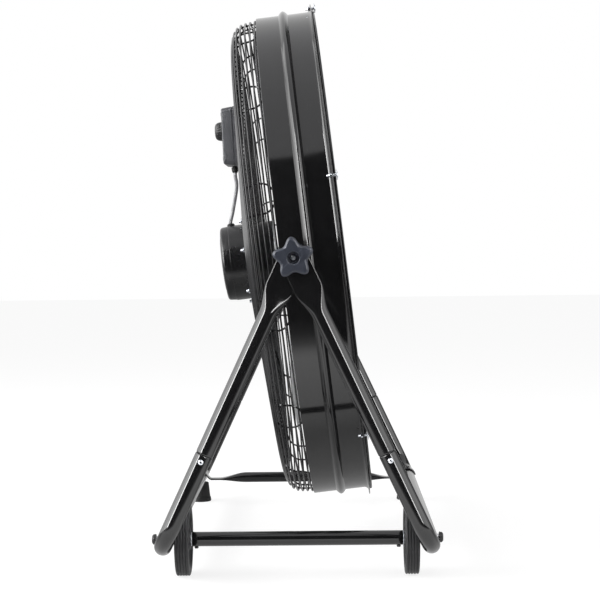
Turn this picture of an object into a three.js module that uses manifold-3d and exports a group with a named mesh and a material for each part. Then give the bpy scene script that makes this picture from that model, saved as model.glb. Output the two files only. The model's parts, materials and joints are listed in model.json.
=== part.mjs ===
// Drum fan of the 750 mm class on a wheeled A-frame of bent tube. Millimetres, +Z up.
// The fan blows along +X. +Y runs from the wheeled side to the side with the rubber feet.
// The origin is on the floor, below the two tilt pivots.
import * as THREE from 'three';
import { mergeVertices } from 'three/addons/utils/BufferGeometryUtils.js';
import Module from 'manifold-3d';

// Fits
const TOUCH = 0.3; // gap kept between pieces that touch
const RUN = 0.7; // running clearance round shafts and pivots
const WELD_DEPTH = 0.7; // how deep a welded wire sits in the sheet it is joined to
const PAST = 20; // how far the drills run past the walls that they go through
const EDGE = 1; // small chamfer on turned edges

// Drum
const DRUM_RADIUS = 390;
const DRUM_SHEET = 1.5;
const DRUM_DEPTH = 89.5;
const DRUM_SIDES = 48;
const PIVOT_HEIGHT = 460;
const PIVOT_FROM_REAR = 20;
const REST_TILT = 6.4; // degrees, front edge raised
const BEAD_HEIGHT = 6.2;
const BEAD_WIDTH = 11;
const BEAD_FROM_REAR = 43.5;
const FLANGE_HEIGHT = 12;
const FLARE_RADIUS = 5;

// Rim bolts, which hold the front grille on the flange
const RIM_BOLT_COUNT = 6;
const RIM_BOLT_ANGLE = 76; // degrees above the pivot line, on the wheeled side
const RIM_BOLT_OUT = 7.5; // from the drum wall to the bolt axis
const RIM_BOLT_RADIUS = 2;
const RIM_HEAD_RADIUS = 7.5;
const RIM_HEAD_HEIGHT = 2;
const RIM_NUT_RADIUS = 3.7;
const RIM_NUT_HEIGHT = 3.2;
const RIM_BOLT_TAIL = 4;

// Grilles
const WIRE_WIDTH = 6;
const WIRE_HEIGHT = 4;
const NET_PITCH = 20;
const NET_RIBS = 6;
const CHORD_REACH = 120; // radius served by one chord between two ribs
const REAR_RIM_INSIDE = 5; // how far the rear grille reaches into the drum
const REAR_WALL_DEPTH = 19;
const REAR_WALL_TAPER = 0.11;
const REAR_FACE_RADIUS = 350; // where the face meets the round corner
const REAR_FACE_DEPTH = 44.5; // behind the drum, at that radius
const REAR_FACE_SLOPE = 0.07;
const FRONT_RECESS = 3;
const FRONT_RECESS_REACH = 40;
const FRONT_DISC_RADIUS = 62;
const FRONT_DISC_SHEET = 2.4;

// Motor
const MOTOR_RADIUS = 61.5;
const MOTOR_LENGTH = 88;
const MOTOR_WALL = 3;
const MOTOR_SIDES = 20;
const MOTOR_BEHIND_DRUM = 104;
const MOTOR_EDGE = 5;
const MOTOR_FLANGE = 12;
const MOTOR_FLANGE_SHEET = 3;
const MOTOR_COVER_SHEET = 3;
const MOTOR_SHAFT_INSIDE = 3; // from the shaft's end to the housing's rear wall
const MOUNT_PLATE_SHEET = 3;
const MOUNT_PLATE_WIDTH = 20;
const MOTOR_BOLT_COUNT = 6;
const MOTOR_BOLT_OUT = 6.8;
const MOTOR_BOLT_RADIUS = 2.5;
const MOTOR_NUT_RADIUS = 4.4;
const MOTOR_NUT_HEIGHT = 4;
const MOTOR_BOLT_TAIL = 3.5;
const STATOR_THICKNESS = 16;
const STATOR_LENGTH = 46;
const ROTOR_GAP = 1.6;

// Impeller
const SHAFT_RADIUS = 8;
const SHAFT_PAST_HUB = 2;
const HUB_FROM_PIVOT = 14;
const HUB_RADIUS = 24;
const HUB_LENGTH = 42;
const HUB_DISC_RADIUS = 62;
const HUB_DISC_SHEET = 5;
const HUB_SIDES = 16;
const ARM_WIDTH = 46;
const ARM_SHEET = 4;
const ARM_REACH = 190;
const BLADE_COUNT = 3;
const BLADE_RADIUS = 372;
const BLADE_ROOT = 85;
const BLADE_SHEET = 2;
const BLADE_ROOT_CHORD = 130;
const BLADE_TIP_CHORD = 236;
const BLADE_ROOT_PITCH = 38; // degrees
const BLADE_TIP_PITCH = 20; // degrees
const BLADE_CAMBER = 0.07; // of the chord
const BLADE_TIP_ROUNDING = 19;

// Control box
const BOX_WIDTH = 112;
const BOX_HEIGHT = 97;
const BOX_DEPTH = 23;
const BOX_DRAFT = 9; // degrees
const BOX_CORNER = 9;
const BOX_WALL = 3;
const BOX_EDGE = 2;
const BOX_RADIUS = 204; // from the drum axis to the middle of the box
const SWITCH_ABOVE_MIDDLE = 11;
const SWITCH_KNOB_RADIUS = 16;
const SWITCH_KNOB_HEIGHT = 13.5;
const SWITCH_STEM_RADIUS = 4;
const SWITCH_STEM_LENGTH = 10;
const SWITCH_KNOB_SIDES = 16;
const GLAND_RADIUS = 5.6;
const GLAND_LENGTH = 9;
const GLAND_STEM_RADIUS = 4;
const GLAND_FROM_GRILLE = 7.5;
const LEAD_RADIUS = 3;
const LEAD_SIDES = 8;
const LEAD_STEPS = 14;
const LEAD_FROM_REAR = 20; // where it meets the motor, from the motor's rear face

// Stand
const TUBE_RADIUS = 12.7;
const TUBE_WALL = 1.5;
const TUBE_SIDES = 12;
const LEG_TO_DRUM = 32.3; // from the drum wall to the leg tubes
const BASE_LENGTH = 384; // between the axes of the two cross tubes
const FRAME_BEND = 42;
const FRAME_BEND_STEPS = 4;
const FRAME_TOP_HEIGHT = 184;
const SPIGOT_LENGTH = 45;
const LEG_SCREW_BELOW_SEAM = 10;
const PLATE_HALF_WIDTH = 20.4;
const PLATE_THICKNESS = 3.5;
const PLATE_MARGIN = 1.7;
const FLATTENING_LENGTH = 42;

// Small screws with round heads
const SCREW_HEAD_RADIUS = 4.6;
const SCREW_HEAD_HEIGHT = 2.8;
const SCREW_RADIUS = 2.4;
const SCREW_LENGTH = 8;
const SCREW_SIDES = 8;

// Pivots and clamp knobs
const PIVOT_BOLT_RADIUS = 4;
const PIVOT_HEAD_RADIUS = 7.4;
const PIVOT_HEAD_HEIGHT = 5.3;
const SPACER_RADIUS = 12;
const SPACER_SIDES = 16;
const KNOB_LOBES = 5;
const KNOB_POINTS = 5; // on each lobe
const KNOB_LOBE_RADIUS = 29.5;
const KNOB_VALLEY_RADIUS = 20.5;
const KNOB_LOBE_ANGLE = 96; // degrees above +X, seen from outside
const KNOB_BOSS_RADIUS = 13;
const KNOB_BOSS_HEIGHT = 6;
const KNOB_THICKNESS = 19;
const KNOB_BEVEL = 2.5;
const KNOB_RECESS_RADIUS = 8.8;
const KNOB_RECESS_DEPTH = 9;
const BOLT_END_BELOW_FACE = 4;

// Axle and wheels
const WHEEL_RADIUS = 52.5;
const WHEEL_WIDTH = 20;
const WHEEL_SIDES = 20;
const WHEEL_CHAMFER = 4;
const WHEEL_DISH = 4;
const WHEEL_DRAFT = 2;
const WHEEL_RIM = 13;
const WHEEL_HUB_RADIUS = 14;
const WHEEL_TO_FRAME = 4.2;
const WHEEL_FROM_LEG = 74; // along the cross tube
const AXLE_RADIUS = 5;
const AXLE_TUBE_RADIUS = 10.5;
const WASHER_RADIUS = 10;
const WASHER_SHEET = 1.5;
const AXLE_NUT_RADIUS = 8;
const AXLE_NUT_HEIGHT = 6;
const AXLE_NUT_CAP = 1.7;
const AXLE_NUT_ROUNDING = 2.5;
const SET_SCREW_FROM_END = 6;
const SET_SCREW_RADIUS = 1.8;
const SET_SCREW_HEAD_RADIUS = 2.9;
const SET_SCREW_HEAD_HEIGHT = 2.6;

// Feet and far brace
const FOOT_HEIGHT = 35;
const FOOT_TOP_RADIUS = 14.5;
const FOOT_BOTTOM_RADIUS = 19;
const FOOT_EDGE = 1.5;
const FOOT_SIDES = 16;
const FOOT_STEM_RADIUS = 4;
const FOOT_STEM_LENGTH = 7;
const FOOT_FROM_LEG = 65;
const BRACE_RADIUS = 9.2;
const BRACE_FROM_LEG = 98;
const STRAP_THICKNESS = 2.5;
const STRAP_HALF_WIDTH = 11;
const STRAP_DROP = 2.6; // from the brace axis to the flattened part
const STRAP_START = 42; // degrees round the cross tube, from its inner side
const STRAP_END = 168;
const STRAP_STEPS = 5;
const STRAP_FLAT_FROM_TUBE = 22; // from the cross tube axis to the level part
const STRAP_FLAT_LENGTH = 13;
const BRACE_FLATTENING = 52;

// Worked out from the sizes above
const legPlane = DRUM_RADIUS + LEG_TO_DRUM + TUBE_RADIUS;
const baseHalf = BASE_LENGTH / 2;
const crossHeight = FOOT_HEIGHT + TOUCH + TUBE_RADIUS;
const legAngle = Math.atan2(baseHalf, PIVOT_HEIGHT - crossHeight);
const seamFromPivot = (PIVOT_HEIGHT - FRAME_TOP_HEIGHT) / Math.cos(legAngle);
const screwFromPivot = seamFromPivot + LEG_SCREW_BELOW_SEAM;
const frameFromPivot = baseHalf / Math.sin(legAngle);
const tubeFlat = TUBE_RADIUS * Math.cos(Math.PI / TUBE_SIDES);
const boreRadius = TUBE_RADIUS - TUBE_WALL;
const drumBore = DRUM_RADIUS - DRUM_SHEET;
const drumBoreFlat = drumBore * Math.cos(Math.PI / DRUM_SIDES);
const drumRear = -PIVOT_FROM_REAR;
const drumFront = drumRear + DRUM_DEPTH;
const motorRear = drumRear - MOTOR_BEHIND_DRUM;
const motorFront = motorRear + MOTOR_LENGTH;
const plateOffset = (PLATE_THICKNESS + TOUCH) / 2;
const knobBase = legPlane + plateOffset + PLATE_THICKNESS / 2 + TOUCH;
const knobFace = knobBase + KNOB_BOSS_HEIGHT + KNOB_THICKNESS;
const wheelMiddle = baseHalf - TUBE_RADIUS - WHEEL_TO_FRAME - WHEEL_WIDTH / 2;
const axleTubeEnd = wheelMiddle - WHEEL_WIDTH / 2 - RUN - WASHER_SHEET - TOUCH;
const wheelSide = -(legPlane - WHEEL_FROM_LEG);
const SIDES = { near: -1, far: 1 };
const ENDS = { rear: -1, front: 1 };

const wasm = await Module();
wasm.setup();

const X = new THREE.Vector3(1, 0, 0);
const Y = new THREE.Vector3(0, 1, 0);
const Z = new THREE.Vector3(0, 0, 1);
const radians = THREE.MathUtils.degToRad;
const { lerp } = THREE.MathUtils;

const MATERIALS = {
  black_paint: new THREE.MeshStandardMaterial({ color: 0x101013, roughness: 0.22, metalness: 0.1 }),
  wire_paint: new THREE.MeshStandardMaterial({ color: 0x18181b, roughness: 0.3, metalness: 0.2 }),
  aluminium: new THREE.MeshStandardMaterial({ color: 0xc4c6c8, roughness: 0.3, metalness: 1 }),
  steel: new THREE.MeshStandardMaterial({ color: 0x8c8c8c, roughness: 0.45, metalness: 1 }),
  zinc: new THREE.MeshStandardMaterial({ color: 0xd2d4d8, roughness: 0.28, metalness: 1 }),
  dark_screw: new THREE.MeshStandardMaterial({ color: 0x1b1b1d, roughness: 0.4, metalness: 0.6 }),
  box_plastic: new THREE.MeshStandardMaterial({ color: 0x2c2d31, roughness: 0.55, metalness: 0 }),
  knob_plastic: new THREE.MeshStandardMaterial({ color: 0x3a3f48, roughness: 0.45, metalness: 0 }),
  rubber: new THREE.MeshStandardMaterial({ color: 0x151515, roughness: 0.8, metalness: 0 }),
  wheel: new THREE.MeshStandardMaterial({ color: 0x3c3c3f, roughness: 0.6, metalness: 0 }),
};

// ---------------------------------------------------------------- geometry helpers

// A geometry with shared corners merged, no empty triangles, and its faces pointing out.
function closed(geometry) {
  const source = geometry.index ? geometry.toNonIndexed() : geometry.clone();
  source.deleteAttribute('normal');
  source.deleteAttribute('uv');
  const merged = mergeVertices(source);
  const index = merged.index.array;
  const place = merged.attributes.position;
  const corner = (i) => new THREE.Vector3().fromBufferAttribute(place, i);
  const kept = [];
  let volume = 0;
  for (let i = 0; i < index.length; i += 3) {
    const [a, b, c] = [index[i], index[i + 1], index[i + 2]];
    if (a !== b && b !== c && c !== a) {
      kept.push([a, b, c]);
      volume += corner(a).dot(corner(b).cross(corner(c)));
    }
  }
  merged.setIndex(kept.flatMap(([a, b, c]) => (volume > 0 ? [a, b, c] : [a, c, b])));
  return merged;
}

function toSolid(geometry) {
  const body = closed(geometry);
  return new wasm.Manifold(new wasm.Mesh({
    numProp: 3,
    vertProperties: new Float32Array(body.attributes.position.array),
    triVerts: new Uint32Array(body.index.array),
  }));
}

function toGeometry(manifold) {
  const mesh = manifold.getMesh();
  const geometry = new THREE.BufferGeometry();
  geometry.setAttribute('position', new THREE.BufferAttribute(mesh.vertProperties, 3));
  geometry.setIndex(new THREE.BufferAttribute(mesh.triVerts, 1));
  return geometry;
}

function cut(geometry, tools) {
  return toGeometry(tools.reduce((left, tool) => left.subtract(toSolid(tool)), toSolid(geometry)));
}

function join(geometries) {
  return toGeometry(geometries.map(toSolid).reduce((sum, next) => sum.add(next)));
}

// Turned part: [radius, distance] pairs, turned about +Z and then laid along an axis from a point.
function turned(profile, sides, axis = Z, origin = new THREE.Vector3()) {
  const points = profile.map(([radius, along]) => new THREE.Vector2(radius, along));
  const geometry = new THREE.LatheGeometry(points, sides);
  geometry.rotateX(Math.PI / 2);
  geometry.applyQuaternion(new THREE.Quaternion().setFromUnitVectors(Z, axis));
  geometry.translate(origin.x, origin.y, origin.z);
  return geometry;
}

// A ring profile: a tube wall between two radii and two ends.
function sleeve(inner, outer, from, to) {
  return [[inner, from], [outer, from], [outer, to], [inner, to], [inner, from]];
}

function drill(radius, from, to) {
  const way = to.clone().sub(from);
  return turned([[0, 0], [radius, 0], [radius, way.length()], [0, way.length()]], SCREW_SIDES,
    way.clone().normalize(), from);
}

// Points round a centre. reach gives the two distances along u and v for an angle.
function ring(count, centre, u, v, reach) {
  return Array.from({ length: count }, (_, k) => {
    const angle = ((k + 0.5) / count) * 2 * Math.PI;
    const [along, across] = reach(angle);
    return centre.clone().addScaledVector(u, along).addScaledVector(v, across);
  });
}

function circle(radius) {
  return (angle) => [radius * Math.cos(angle), radius * Math.sin(angle)];
}

// A flattened tube: two half rounds of the given half thickness, at the given half width.
function stadium(halfWidth, halfThickness) {
  return (angle) => [
    Math.sign(Math.cos(angle)) * (halfWidth - halfThickness) + halfThickness * Math.cos(angle),
    halfThickness * Math.sin(angle),
  ];
}

// A closed body through rings of equal, even numbers of points. The last ring runs back to the
// first, or each end is capped by strips between its first half and its second.
function skin(rings, loop = false) {
  const count = rings[0].length;
  const points = rings.flat();
  const faces = [];
  const spans = loop ? rings.length : rings.length - 1;
  for (let i = 0; i < spans; i += 1) {
    const a = i * count;
    const b = ((i + 1) % rings.length) * count;
    for (let k = 0; k < count; k += 1) {
      const next = (k + 1) % count;
      faces.push([a + k, b + k, b + next], [a + k, b + next, a + next]);
    }
  }
  const cap = (start, order) => {
    for (let k = 0; k < count / 2 - 1; k += 1) {
      const [a, b, c, d] = [k, k + 1, count - 2 - k, count - 1 - k].map((place) => start + place);
      faces.push(order([a, b, c]), order([a, c, d]));
    }
  };
  if (!loop) {
    cap(0, ([a, b, c]) => [a, b, c]);
    cap((rings.length - 1) * count, ([a, b, c]) => [a, c, b]);
  }
  return bodyOf(points, faces);
}

function bodyOf(points, faces) {
  const geometry = new THREE.BufferGeometry();
  const numbers = points.flatMap((point) => [point.x, point.y, point.z]);
  geometry.setAttribute('position', new THREE.Float32BufferAttribute(numbers, 3));
  geometry.setIndex(faces.flat());
  return geometry;
}

function addPiece(parent, name, geometry, material) {
  const mesh = new THREE.Mesh(closed(geometry), MATERIALS[material]);
  mesh.name = name;
  parent.add(mesh);
}

function framed(position, xAxis, yAxis, zAxis) {
  const group = new THREE.Group();
  group.quaternion.setFromRotationMatrix(new THREE.Matrix4().makeBasis(xAxis, yAxis, zAxis));
  group.position.copy(position);
  return group;
}

// ---------------------------------------------------------------- drum
// The drum's own frame: x to the far side, y up across the drum, z forward along its axis.

function drumShell() {
  const bead = drumRear + BEAD_FROM_REAR;
  const wallFront = drumFront - DRUM_SHEET - FLARE_RADIUS;
  const flangeRadius = DRUM_RADIUS + FLANGE_HEIGHT;
  const profile = [
    [drumBore, drumRear],
    [DRUM_RADIUS, drumRear],
  ];
  for (const turn of [180, 130, 90, 50, 0]) {
    profile.push([
      DRUM_RADIUS + BEAD_HEIGHT * Math.sin(radians(turn)),
      bead + (BEAD_WIDTH / 2) * Math.cos(radians(turn)),
    ]);
  }
  for (const turn of [180, 135, 90]) {
    profile.push([
      DRUM_RADIUS + FLARE_RADIUS * (1 + Math.cos(radians(turn))),
      wallFront + FLARE_RADIUS * Math.sin(radians(turn)),
    ]);
  }
  profile.push([flangeRadius, drumFront - DRUM_SHEET]);
  profile.push([flangeRadius, drumFront]);
  profile.push([drumBore, drumFront]);
  profile.push([drumBore, drumRear]);
  const holes = Object.values(SIDES).map((side) => drill(PIVOT_BOLT_RADIUS + RUN,
    new THREE.Vector3(side * (drumBore - PAST), 0, 0),
    new THREE.Vector3(side * (DRUM_RADIUS + PAST), 0, 0)));
  for (const spot of aroundAxis(RIM_BOLT_COUNT, DRUM_RADIUS + RIM_BOLT_OUT)) {
    holes.push(drill(RIM_BOLT_RADIUS + RUN, spot.clone().setZ(drumFront - PAST),
      spot.clone().setZ(drumFront + PAST)));
  }
  return cut(turned(profile, DRUM_SIDES), holes);
}

// Places round the drum axis, the first one at the rim bolt angle.
function aroundAxis(count, radius) {
  return Array.from({ length: count }, (_, k) => {
    const angle = radians(RIM_BOLT_ANGLE) + (k / count) * 2 * Math.PI;
    return new THREE.Vector3(-radius * Math.cos(angle), radius * Math.sin(angle), 0);
  });
}

// Rings of triangular wire joined by ribs. Each station gives one ring's outermost line, with the
// direction to the next ring inward; heights are distances along the axis.
function wireNet(stations) {
  const points = [];
  const faces = [];
  const quad = (a, b, c, d) => faces.push([a, b, c], [a, c, d]);
  const rings = stations.map(({ radius, height, inward, outward }) => {
    const chords = Math.max(2, Math.round(radius / CHORD_REACH));
    const ribHalf = WIRE_WIDTH / 2 / radius;
    const section = [
      [radius, height],
      ...[1, -1].map((end) => [
        radius - outward[0] * WIRE_HEIGHT + (end * inward[0] * WIRE_WIDTH) / 2,
        height - outward[1] * WIRE_HEIGHT + (end * inward[1] * WIRE_WIDTH) / 2,
      ]),
    ];
    const columns = [];
    for (let rib = 0; rib < NET_RIBS; rib += 1) {
      const start = (rib / NET_RIBS) * 2 * Math.PI;
      const gap = (2 * Math.PI) / NET_RIBS - 2 * ribHalf;
      columns.push({ angle: start - ribHalf, rib });
      for (let k = 0; k < chords; k += 1) {
        columns.push({ angle: start + ribHalf + (gap * k) / chords, rib: null });
      }
    }
    for (const column of columns) {
      column.corners = section.map(([r, h]) => points.push(
        new THREE.Vector3(r * Math.cos(column.angle), r * Math.sin(column.angle), h),
      ) - 1);
    }
    return columns;
  });
  rings.forEach((columns, i) => columns.forEach((column, j) => {
    const next = columns[(j + 1) % columns.length];
    const [a, b, c] = column.corners;
    const [d, e, f] = next.corners;
    const atRib = column.rib !== null;
    quad(b, e, f, c);
    if (!atRib || i === rings.length - 1) quad(a, d, e, b);
    if (!atRib || i === 0) quad(c, f, d, a);
    if (atRib && i < rings.length - 1) {
      const inner = rings[i + 1].findIndex((other) => other.rib === column.rib);
      const [g, , h] = rings[i + 1][inner].corners;
      const [k, , l] = rings[i + 1][inner + 1].corners;
      quad(a, d, k, g);
      quad(e, b, h, l);
      quad(b, a, g, h);
      quad(d, e, l, k);
    }
  }));
  return bodyOf(points, faces);
}

// Stations at an even pitch along a profile path of (radius, height) points, listed rim first.
// The wires' ridges face the front or the rear.
function stationsAlong(path, face) {
  const spans = Math.max(2, Math.round(path.getLength() / NET_PITCH));
  return Array.from({ length: spans + 1 }, (_, k) => {
    const share = k / spans;
    const point = path.getPoint(share);
    const way = path.getTangent(share);
    return {
      radius: point.x,
      height: point.y,
      inward: [way.x, way.y],
      outward: [face * way.y, -face * way.x],
    };
  });
}

const netInner = MOTOR_RADIUS + RUN + MOUNT_PLATE_WIDTH - WIRE_WIDTH / 2 - WELD_DEPTH;

function rearFaceHeight(radius) {
  return drumRear - REAR_FACE_DEPTH - (REAR_FACE_RADIUS - radius) * REAR_FACE_SLOPE;
}

function rearPath() {
  const rim = drumBoreFlat - TOUCH;
  const start = drumRear + REAR_RIM_INSIDE;
  const wallEnd = drumRear - REAR_WALL_DEPTH;
  const wallAt = (height) => rim - (start - height) * REAR_WALL_TAPER;
  const path = new THREE.Path();
  path.moveTo(rim, start);
  path.lineTo(wallAt(wallEnd), wallEnd);
  const meet = rearFaceHeight(wallAt(wallEnd));
  path.quadraticCurveTo(wallAt(meet), rearFaceHeight(wallAt(meet)),
    REAR_FACE_RADIUS, rearFaceHeight(REAR_FACE_RADIUS));
  path.lineTo(netInner, rearFaceHeight(netInner));
  return path;
}

const plateOuterFace = rearFaceHeight(netInner) + WIRE_HEIGHT - MOUNT_PLATE_SHEET + WELD_DEPTH;
const plateInnerFace = plateOuterFace + MOUNT_PLATE_SHEET;
const flangeFace = plateInnerFace + TOUCH;

function rearGrille() {
  const inner = MOTOR_RADIUS + RUN;
  const plate = turned(sleeve(inner, inner + MOUNT_PLATE_WIDTH, plateOuterFace, plateInnerFace),
    MOTOR_SIDES);
  const holes = aroundAxis(MOTOR_BOLT_COUNT, MOTOR_RADIUS + MOTOR_BOLT_OUT).map((spot) => drill(
    MOTOR_BOLT_RADIUS + RUN, spot.clone().setZ(plateOuterFace - PAST),
    spot.clone().setZ(plateInnerFace + PAST)));
  return cut(join([wireNet(stationsAlong(rearPath(), -1)), plate]), holes);
}

function frontGrille() {
  const seat = drumFront + TOUCH + WIRE_HEIGHT;
  const rim = DRUM_RADIUS + RIM_BOLT_OUT - RIM_BOLT_RADIUS - RUN - WIRE_WIDTH / 2 - TOUCH;
  const path = new THREE.Path();
  path.moveTo(rim, seat);
  path.lineTo(rim - FRONT_RECESS_REACH, seat - FRONT_RECESS);
  path.lineTo(FRONT_DISC_RADIUS - WIRE_WIDTH, seat - FRONT_RECESS);
  const back = seat - FRONT_RECESS - WIRE_HEIGHT + WELD_DEPTH;
  const disc = turned([[0, back], [FRONT_DISC_RADIUS, back],
    [FRONT_DISC_RADIUS, back + FRONT_DISC_SHEET], [0, back + FRONT_DISC_SHEET]], MOTOR_SIDES);
  return join([wireNet(stationsAlong(path, 1)), disc]);
}

// Bolt with its nut: a head beyond z = 0, a shank towards -z, and a nut that starts at the grip.
function boltWithNut(head, shank, nut, grip, tail) {
  const nutEnd = -grip - nut.height;
  return [
    [0, head.height], [head.radius, head.height], [head.radius, 0], [shank, 0], [shank, -grip],
    [nut.radius, -grip], [nut.radius, nutEnd], [shank, nutEnd], [shank, nutEnd - tail],
    [0, nutEnd - tail],
  ];
}

function rimBolt(spot) {
  const seat = drumFront + TOUCH + WIRE_HEIGHT + TOUCH;
  const grip = seat - (drumFront - DRUM_SHEET - 2 * TOUCH);
  const profile = boltWithNut({ radius: RIM_HEAD_RADIUS, height: RIM_HEAD_HEIGHT }, RIM_BOLT_RADIUS,
    { radius: RIM_NUT_RADIUS, height: RIM_NUT_HEIGHT }, grip, RIM_BOLT_TAIL);
  return turned(profile, 6, Z, spot.clone().setZ(seat));
}

function motorBolt(spot) {
  const seat = flangeFace + MOTOR_FLANGE_SHEET + TOUCH;
  const grip = seat - plateOuterFace + TOUCH;
  const nut = { radius: MOTOR_NUT_RADIUS, height: MOTOR_NUT_HEIGHT };
  const profile = boltWithNut(nut, MOTOR_BOLT_RADIUS, nut, grip, MOTOR_BOLT_TAIL);
  return turned(profile, 6, Z, spot.clone().setZ(seat));
}

function motorHousing() {
  const inner = MOTOR_RADIUS - MOTOR_WALL;
  const flangeRadius = MOTOR_RADIUS + MOTOR_FLANGE;
  const profile = [
    [0, motorRear],
    [MOTOR_RADIUS - MOTOR_EDGE, motorRear],
    [MOTOR_RADIUS - MOTOR_EDGE * 0.3, motorRear + MOTOR_EDGE * 0.3],
    [MOTOR_RADIUS, motorRear + MOTOR_EDGE],
    [MOTOR_RADIUS, flangeFace],
    [flangeRadius, flangeFace],
    [flangeRadius, flangeFace + MOTOR_FLANGE_SHEET],
    [MOTOR_RADIUS, flangeFace + MOTOR_FLANGE_SHEET],
    [MOTOR_RADIUS, motorFront],
    [inner, motorFront],
    [inner, motorRear + MOTOR_WALL],
    [0, motorRear + MOTOR_WALL],
  ];
  const holes = aroundAxis(MOTOR_BOLT_COUNT, MOTOR_RADIUS + MOTOR_BOLT_OUT).map((spot) => drill(
    MOTOR_BOLT_RADIUS + RUN, spot.clone().setZ(flangeFace - PAST),
    spot.clone().setZ(flangeFace + MOTOR_FLANGE_SHEET + PAST)));
  return cut(turned(profile, MOTOR_SIDES), holes);
}

function motorCover() {
  const start = motorFront + TOUCH;
  return turned([
    [SHAFT_RADIUS + 2 * RUN, start],
    [MOTOR_RADIUS, start],
    [MOTOR_RADIUS, start + MOTOR_COVER_SHEET],
    [SHAFT_RADIUS * 2.5, start + MOTOR_COVER_SHEET],
    [SHAFT_RADIUS * 2, start + 2 * MOTOR_COVER_SHEET],
    [SHAFT_RADIUS + 2 * RUN, start + 2 * MOTOR_COVER_SHEET],
    [SHAFT_RADIUS + 2 * RUN, start],
  ], MOTOR_SIDES);
}

const statorOuter = MOTOR_RADIUS - MOTOR_WALL - TOUCH;
const statorInner = statorOuter - STATOR_THICKNESS;
const statorRear = (motorRear + motorFront - STATOR_LENGTH) / 2;

function stator() {
  return turned(sleeve(statorInner, statorOuter, statorRear, statorRear + STATOR_LENGTH), MOTOR_SIDES);
}

function rotor() {
  const outer = statorInner - ROTOR_GAP;
  return turned(sleeve(SHAFT_RADIUS + RUN, outer, statorRear, statorRear + STATOR_LENGTH), MOTOR_SIDES);
}

function motorShaft() {
  const rear = motorRear + MOTOR_WALL + MOTOR_SHAFT_INSIDE;
  const front = HUB_FROM_PIVOT + HUB_LENGTH / 2 + SHAFT_PAST_HUB;
  return turned([[0, rear], [SHAFT_RADIUS, rear], [SHAFT_RADIUS, front - EDGE],
    [SHAFT_RADIUS - EDGE, front], [0, front]], TUBE_SIDES);
}

// ---------------------------------------------------------------- impeller

// Height of the camber curve, in straight runs from the middle (0) through 0.5 to the edge (1), so
// that the arms lie flat on the blades.
function foldedCamber(share) {
  return share < 0.5 ? 1 - share / 2 : 1.5 * (1 - share);
}

// A strip of sheet that follows the blade's twist and camber, between two radii. Up to the ends of
// the arms it has no twist.
function bladeStrip(start, stops, halfChord, sheet, lift) {
  const rings = stops.map((radius) => {
    const share = Math.max(0, (radius - ARM_REACH) / (BLADE_RADIUS - ARM_REACH));
    const pitch = radians(lerp(BLADE_ROOT_PITCH, BLADE_TIP_PITCH, share));
    const chord = lerp(BLADE_ROOT_CHORD, BLADE_TIP_CHORD, share);
    const reach = halfChord(radius, chord);
    const camber = (along) => -BLADE_CAMBER * chord * foldedCamber(Math.abs(2 * along / chord));
    const corner = (along, side) => {
      const height = HUB_FROM_PIVOT - along * Math.sin(pitch) + camber(along)
        + (lift + (side * sheet) / 2) / Math.cos(pitch);
      const angle = start + (along * Math.cos(pitch)) / radius;
      return new THREE.Vector3(radius * Math.cos(angle), radius * Math.sin(angle), height);
    };
    const steps = [-1, -0.5, 0, 0.5, 1].map((step) => step * reach);
    return [
      ...steps.map((along) => corner(along, 1)),
      ...steps.reverse().map((along) => corner(along, -1)),
    ];
  });
  return skin(rings);
}

const bladeStops = [BLADE_ROOT, (BLADE_ROOT + ARM_REACH) / 2, ARM_REACH, (ARM_REACH + BLADE_RADIUS) / 2,
  BLADE_RADIUS];

function bladeAngle(k) {
  return radians(90) + (k / BLADE_COUNT) * 2 * Math.PI;
}

function fanBlade(k) {
  const halfChord = (radius, chord) => chord / 2 - (radius === BLADE_RADIUS ? BLADE_TIP_ROUNDING : 0);
  return bladeStrip(bladeAngle(k), bladeStops, halfChord, BLADE_SHEET, 0);
}

function fanHub() {
  const rear = HUB_FROM_PIVOT - HUB_LENGTH / 2;
  const front = HUB_FROM_PIVOT + HUB_LENGTH / 2;
  const discRear = HUB_FROM_PIVOT - HUB_DISC_SHEET / 2;
  const discFront = HUB_FROM_PIVOT + HUB_DISC_SHEET / 2;
  const bore = SHAFT_RADIUS + RUN;
  const boss = turned([
    [bore, rear], [HUB_RADIUS, rear], [HUB_RADIUS, discRear], [HUB_DISC_RADIUS, discRear],
    [HUB_DISC_RADIUS, discFront], [HUB_RADIUS, discFront], [HUB_RADIUS, front], [bore, front],
    [bore, rear],
  ], HUB_SIDES);
  const lift = (BLADE_SHEET + ARM_SHEET) / 2 + TOUCH;
  const armStops = [HUB_DISC_RADIUS * 0.7, BLADE_ROOT, (BLADE_ROOT + ARM_REACH) / 2, ARM_REACH];
  const arms = Array.from({ length: BLADE_COUNT }, (_, k) => bladeStrip(
    bladeAngle(k), armStops, () => ARM_WIDTH / 2, ARM_SHEET, lift));
  return join([boss, ...arms]);
}

// ---------------------------------------------------------------- control box
// The box's own frame lies on the rear grille's face: y up along the face, z out of it.

const boxMiddle = new THREE.Vector3(0, BOX_RADIUS, rearFaceHeight(BOX_RADIUS));
const boxUp = new THREE.Vector3(0, 1, REAR_FACE_SLOPE).normalize();
const boxOut = new THREE.Vector3(0, REAR_FACE_SLOPE, -1).normalize();

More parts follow.
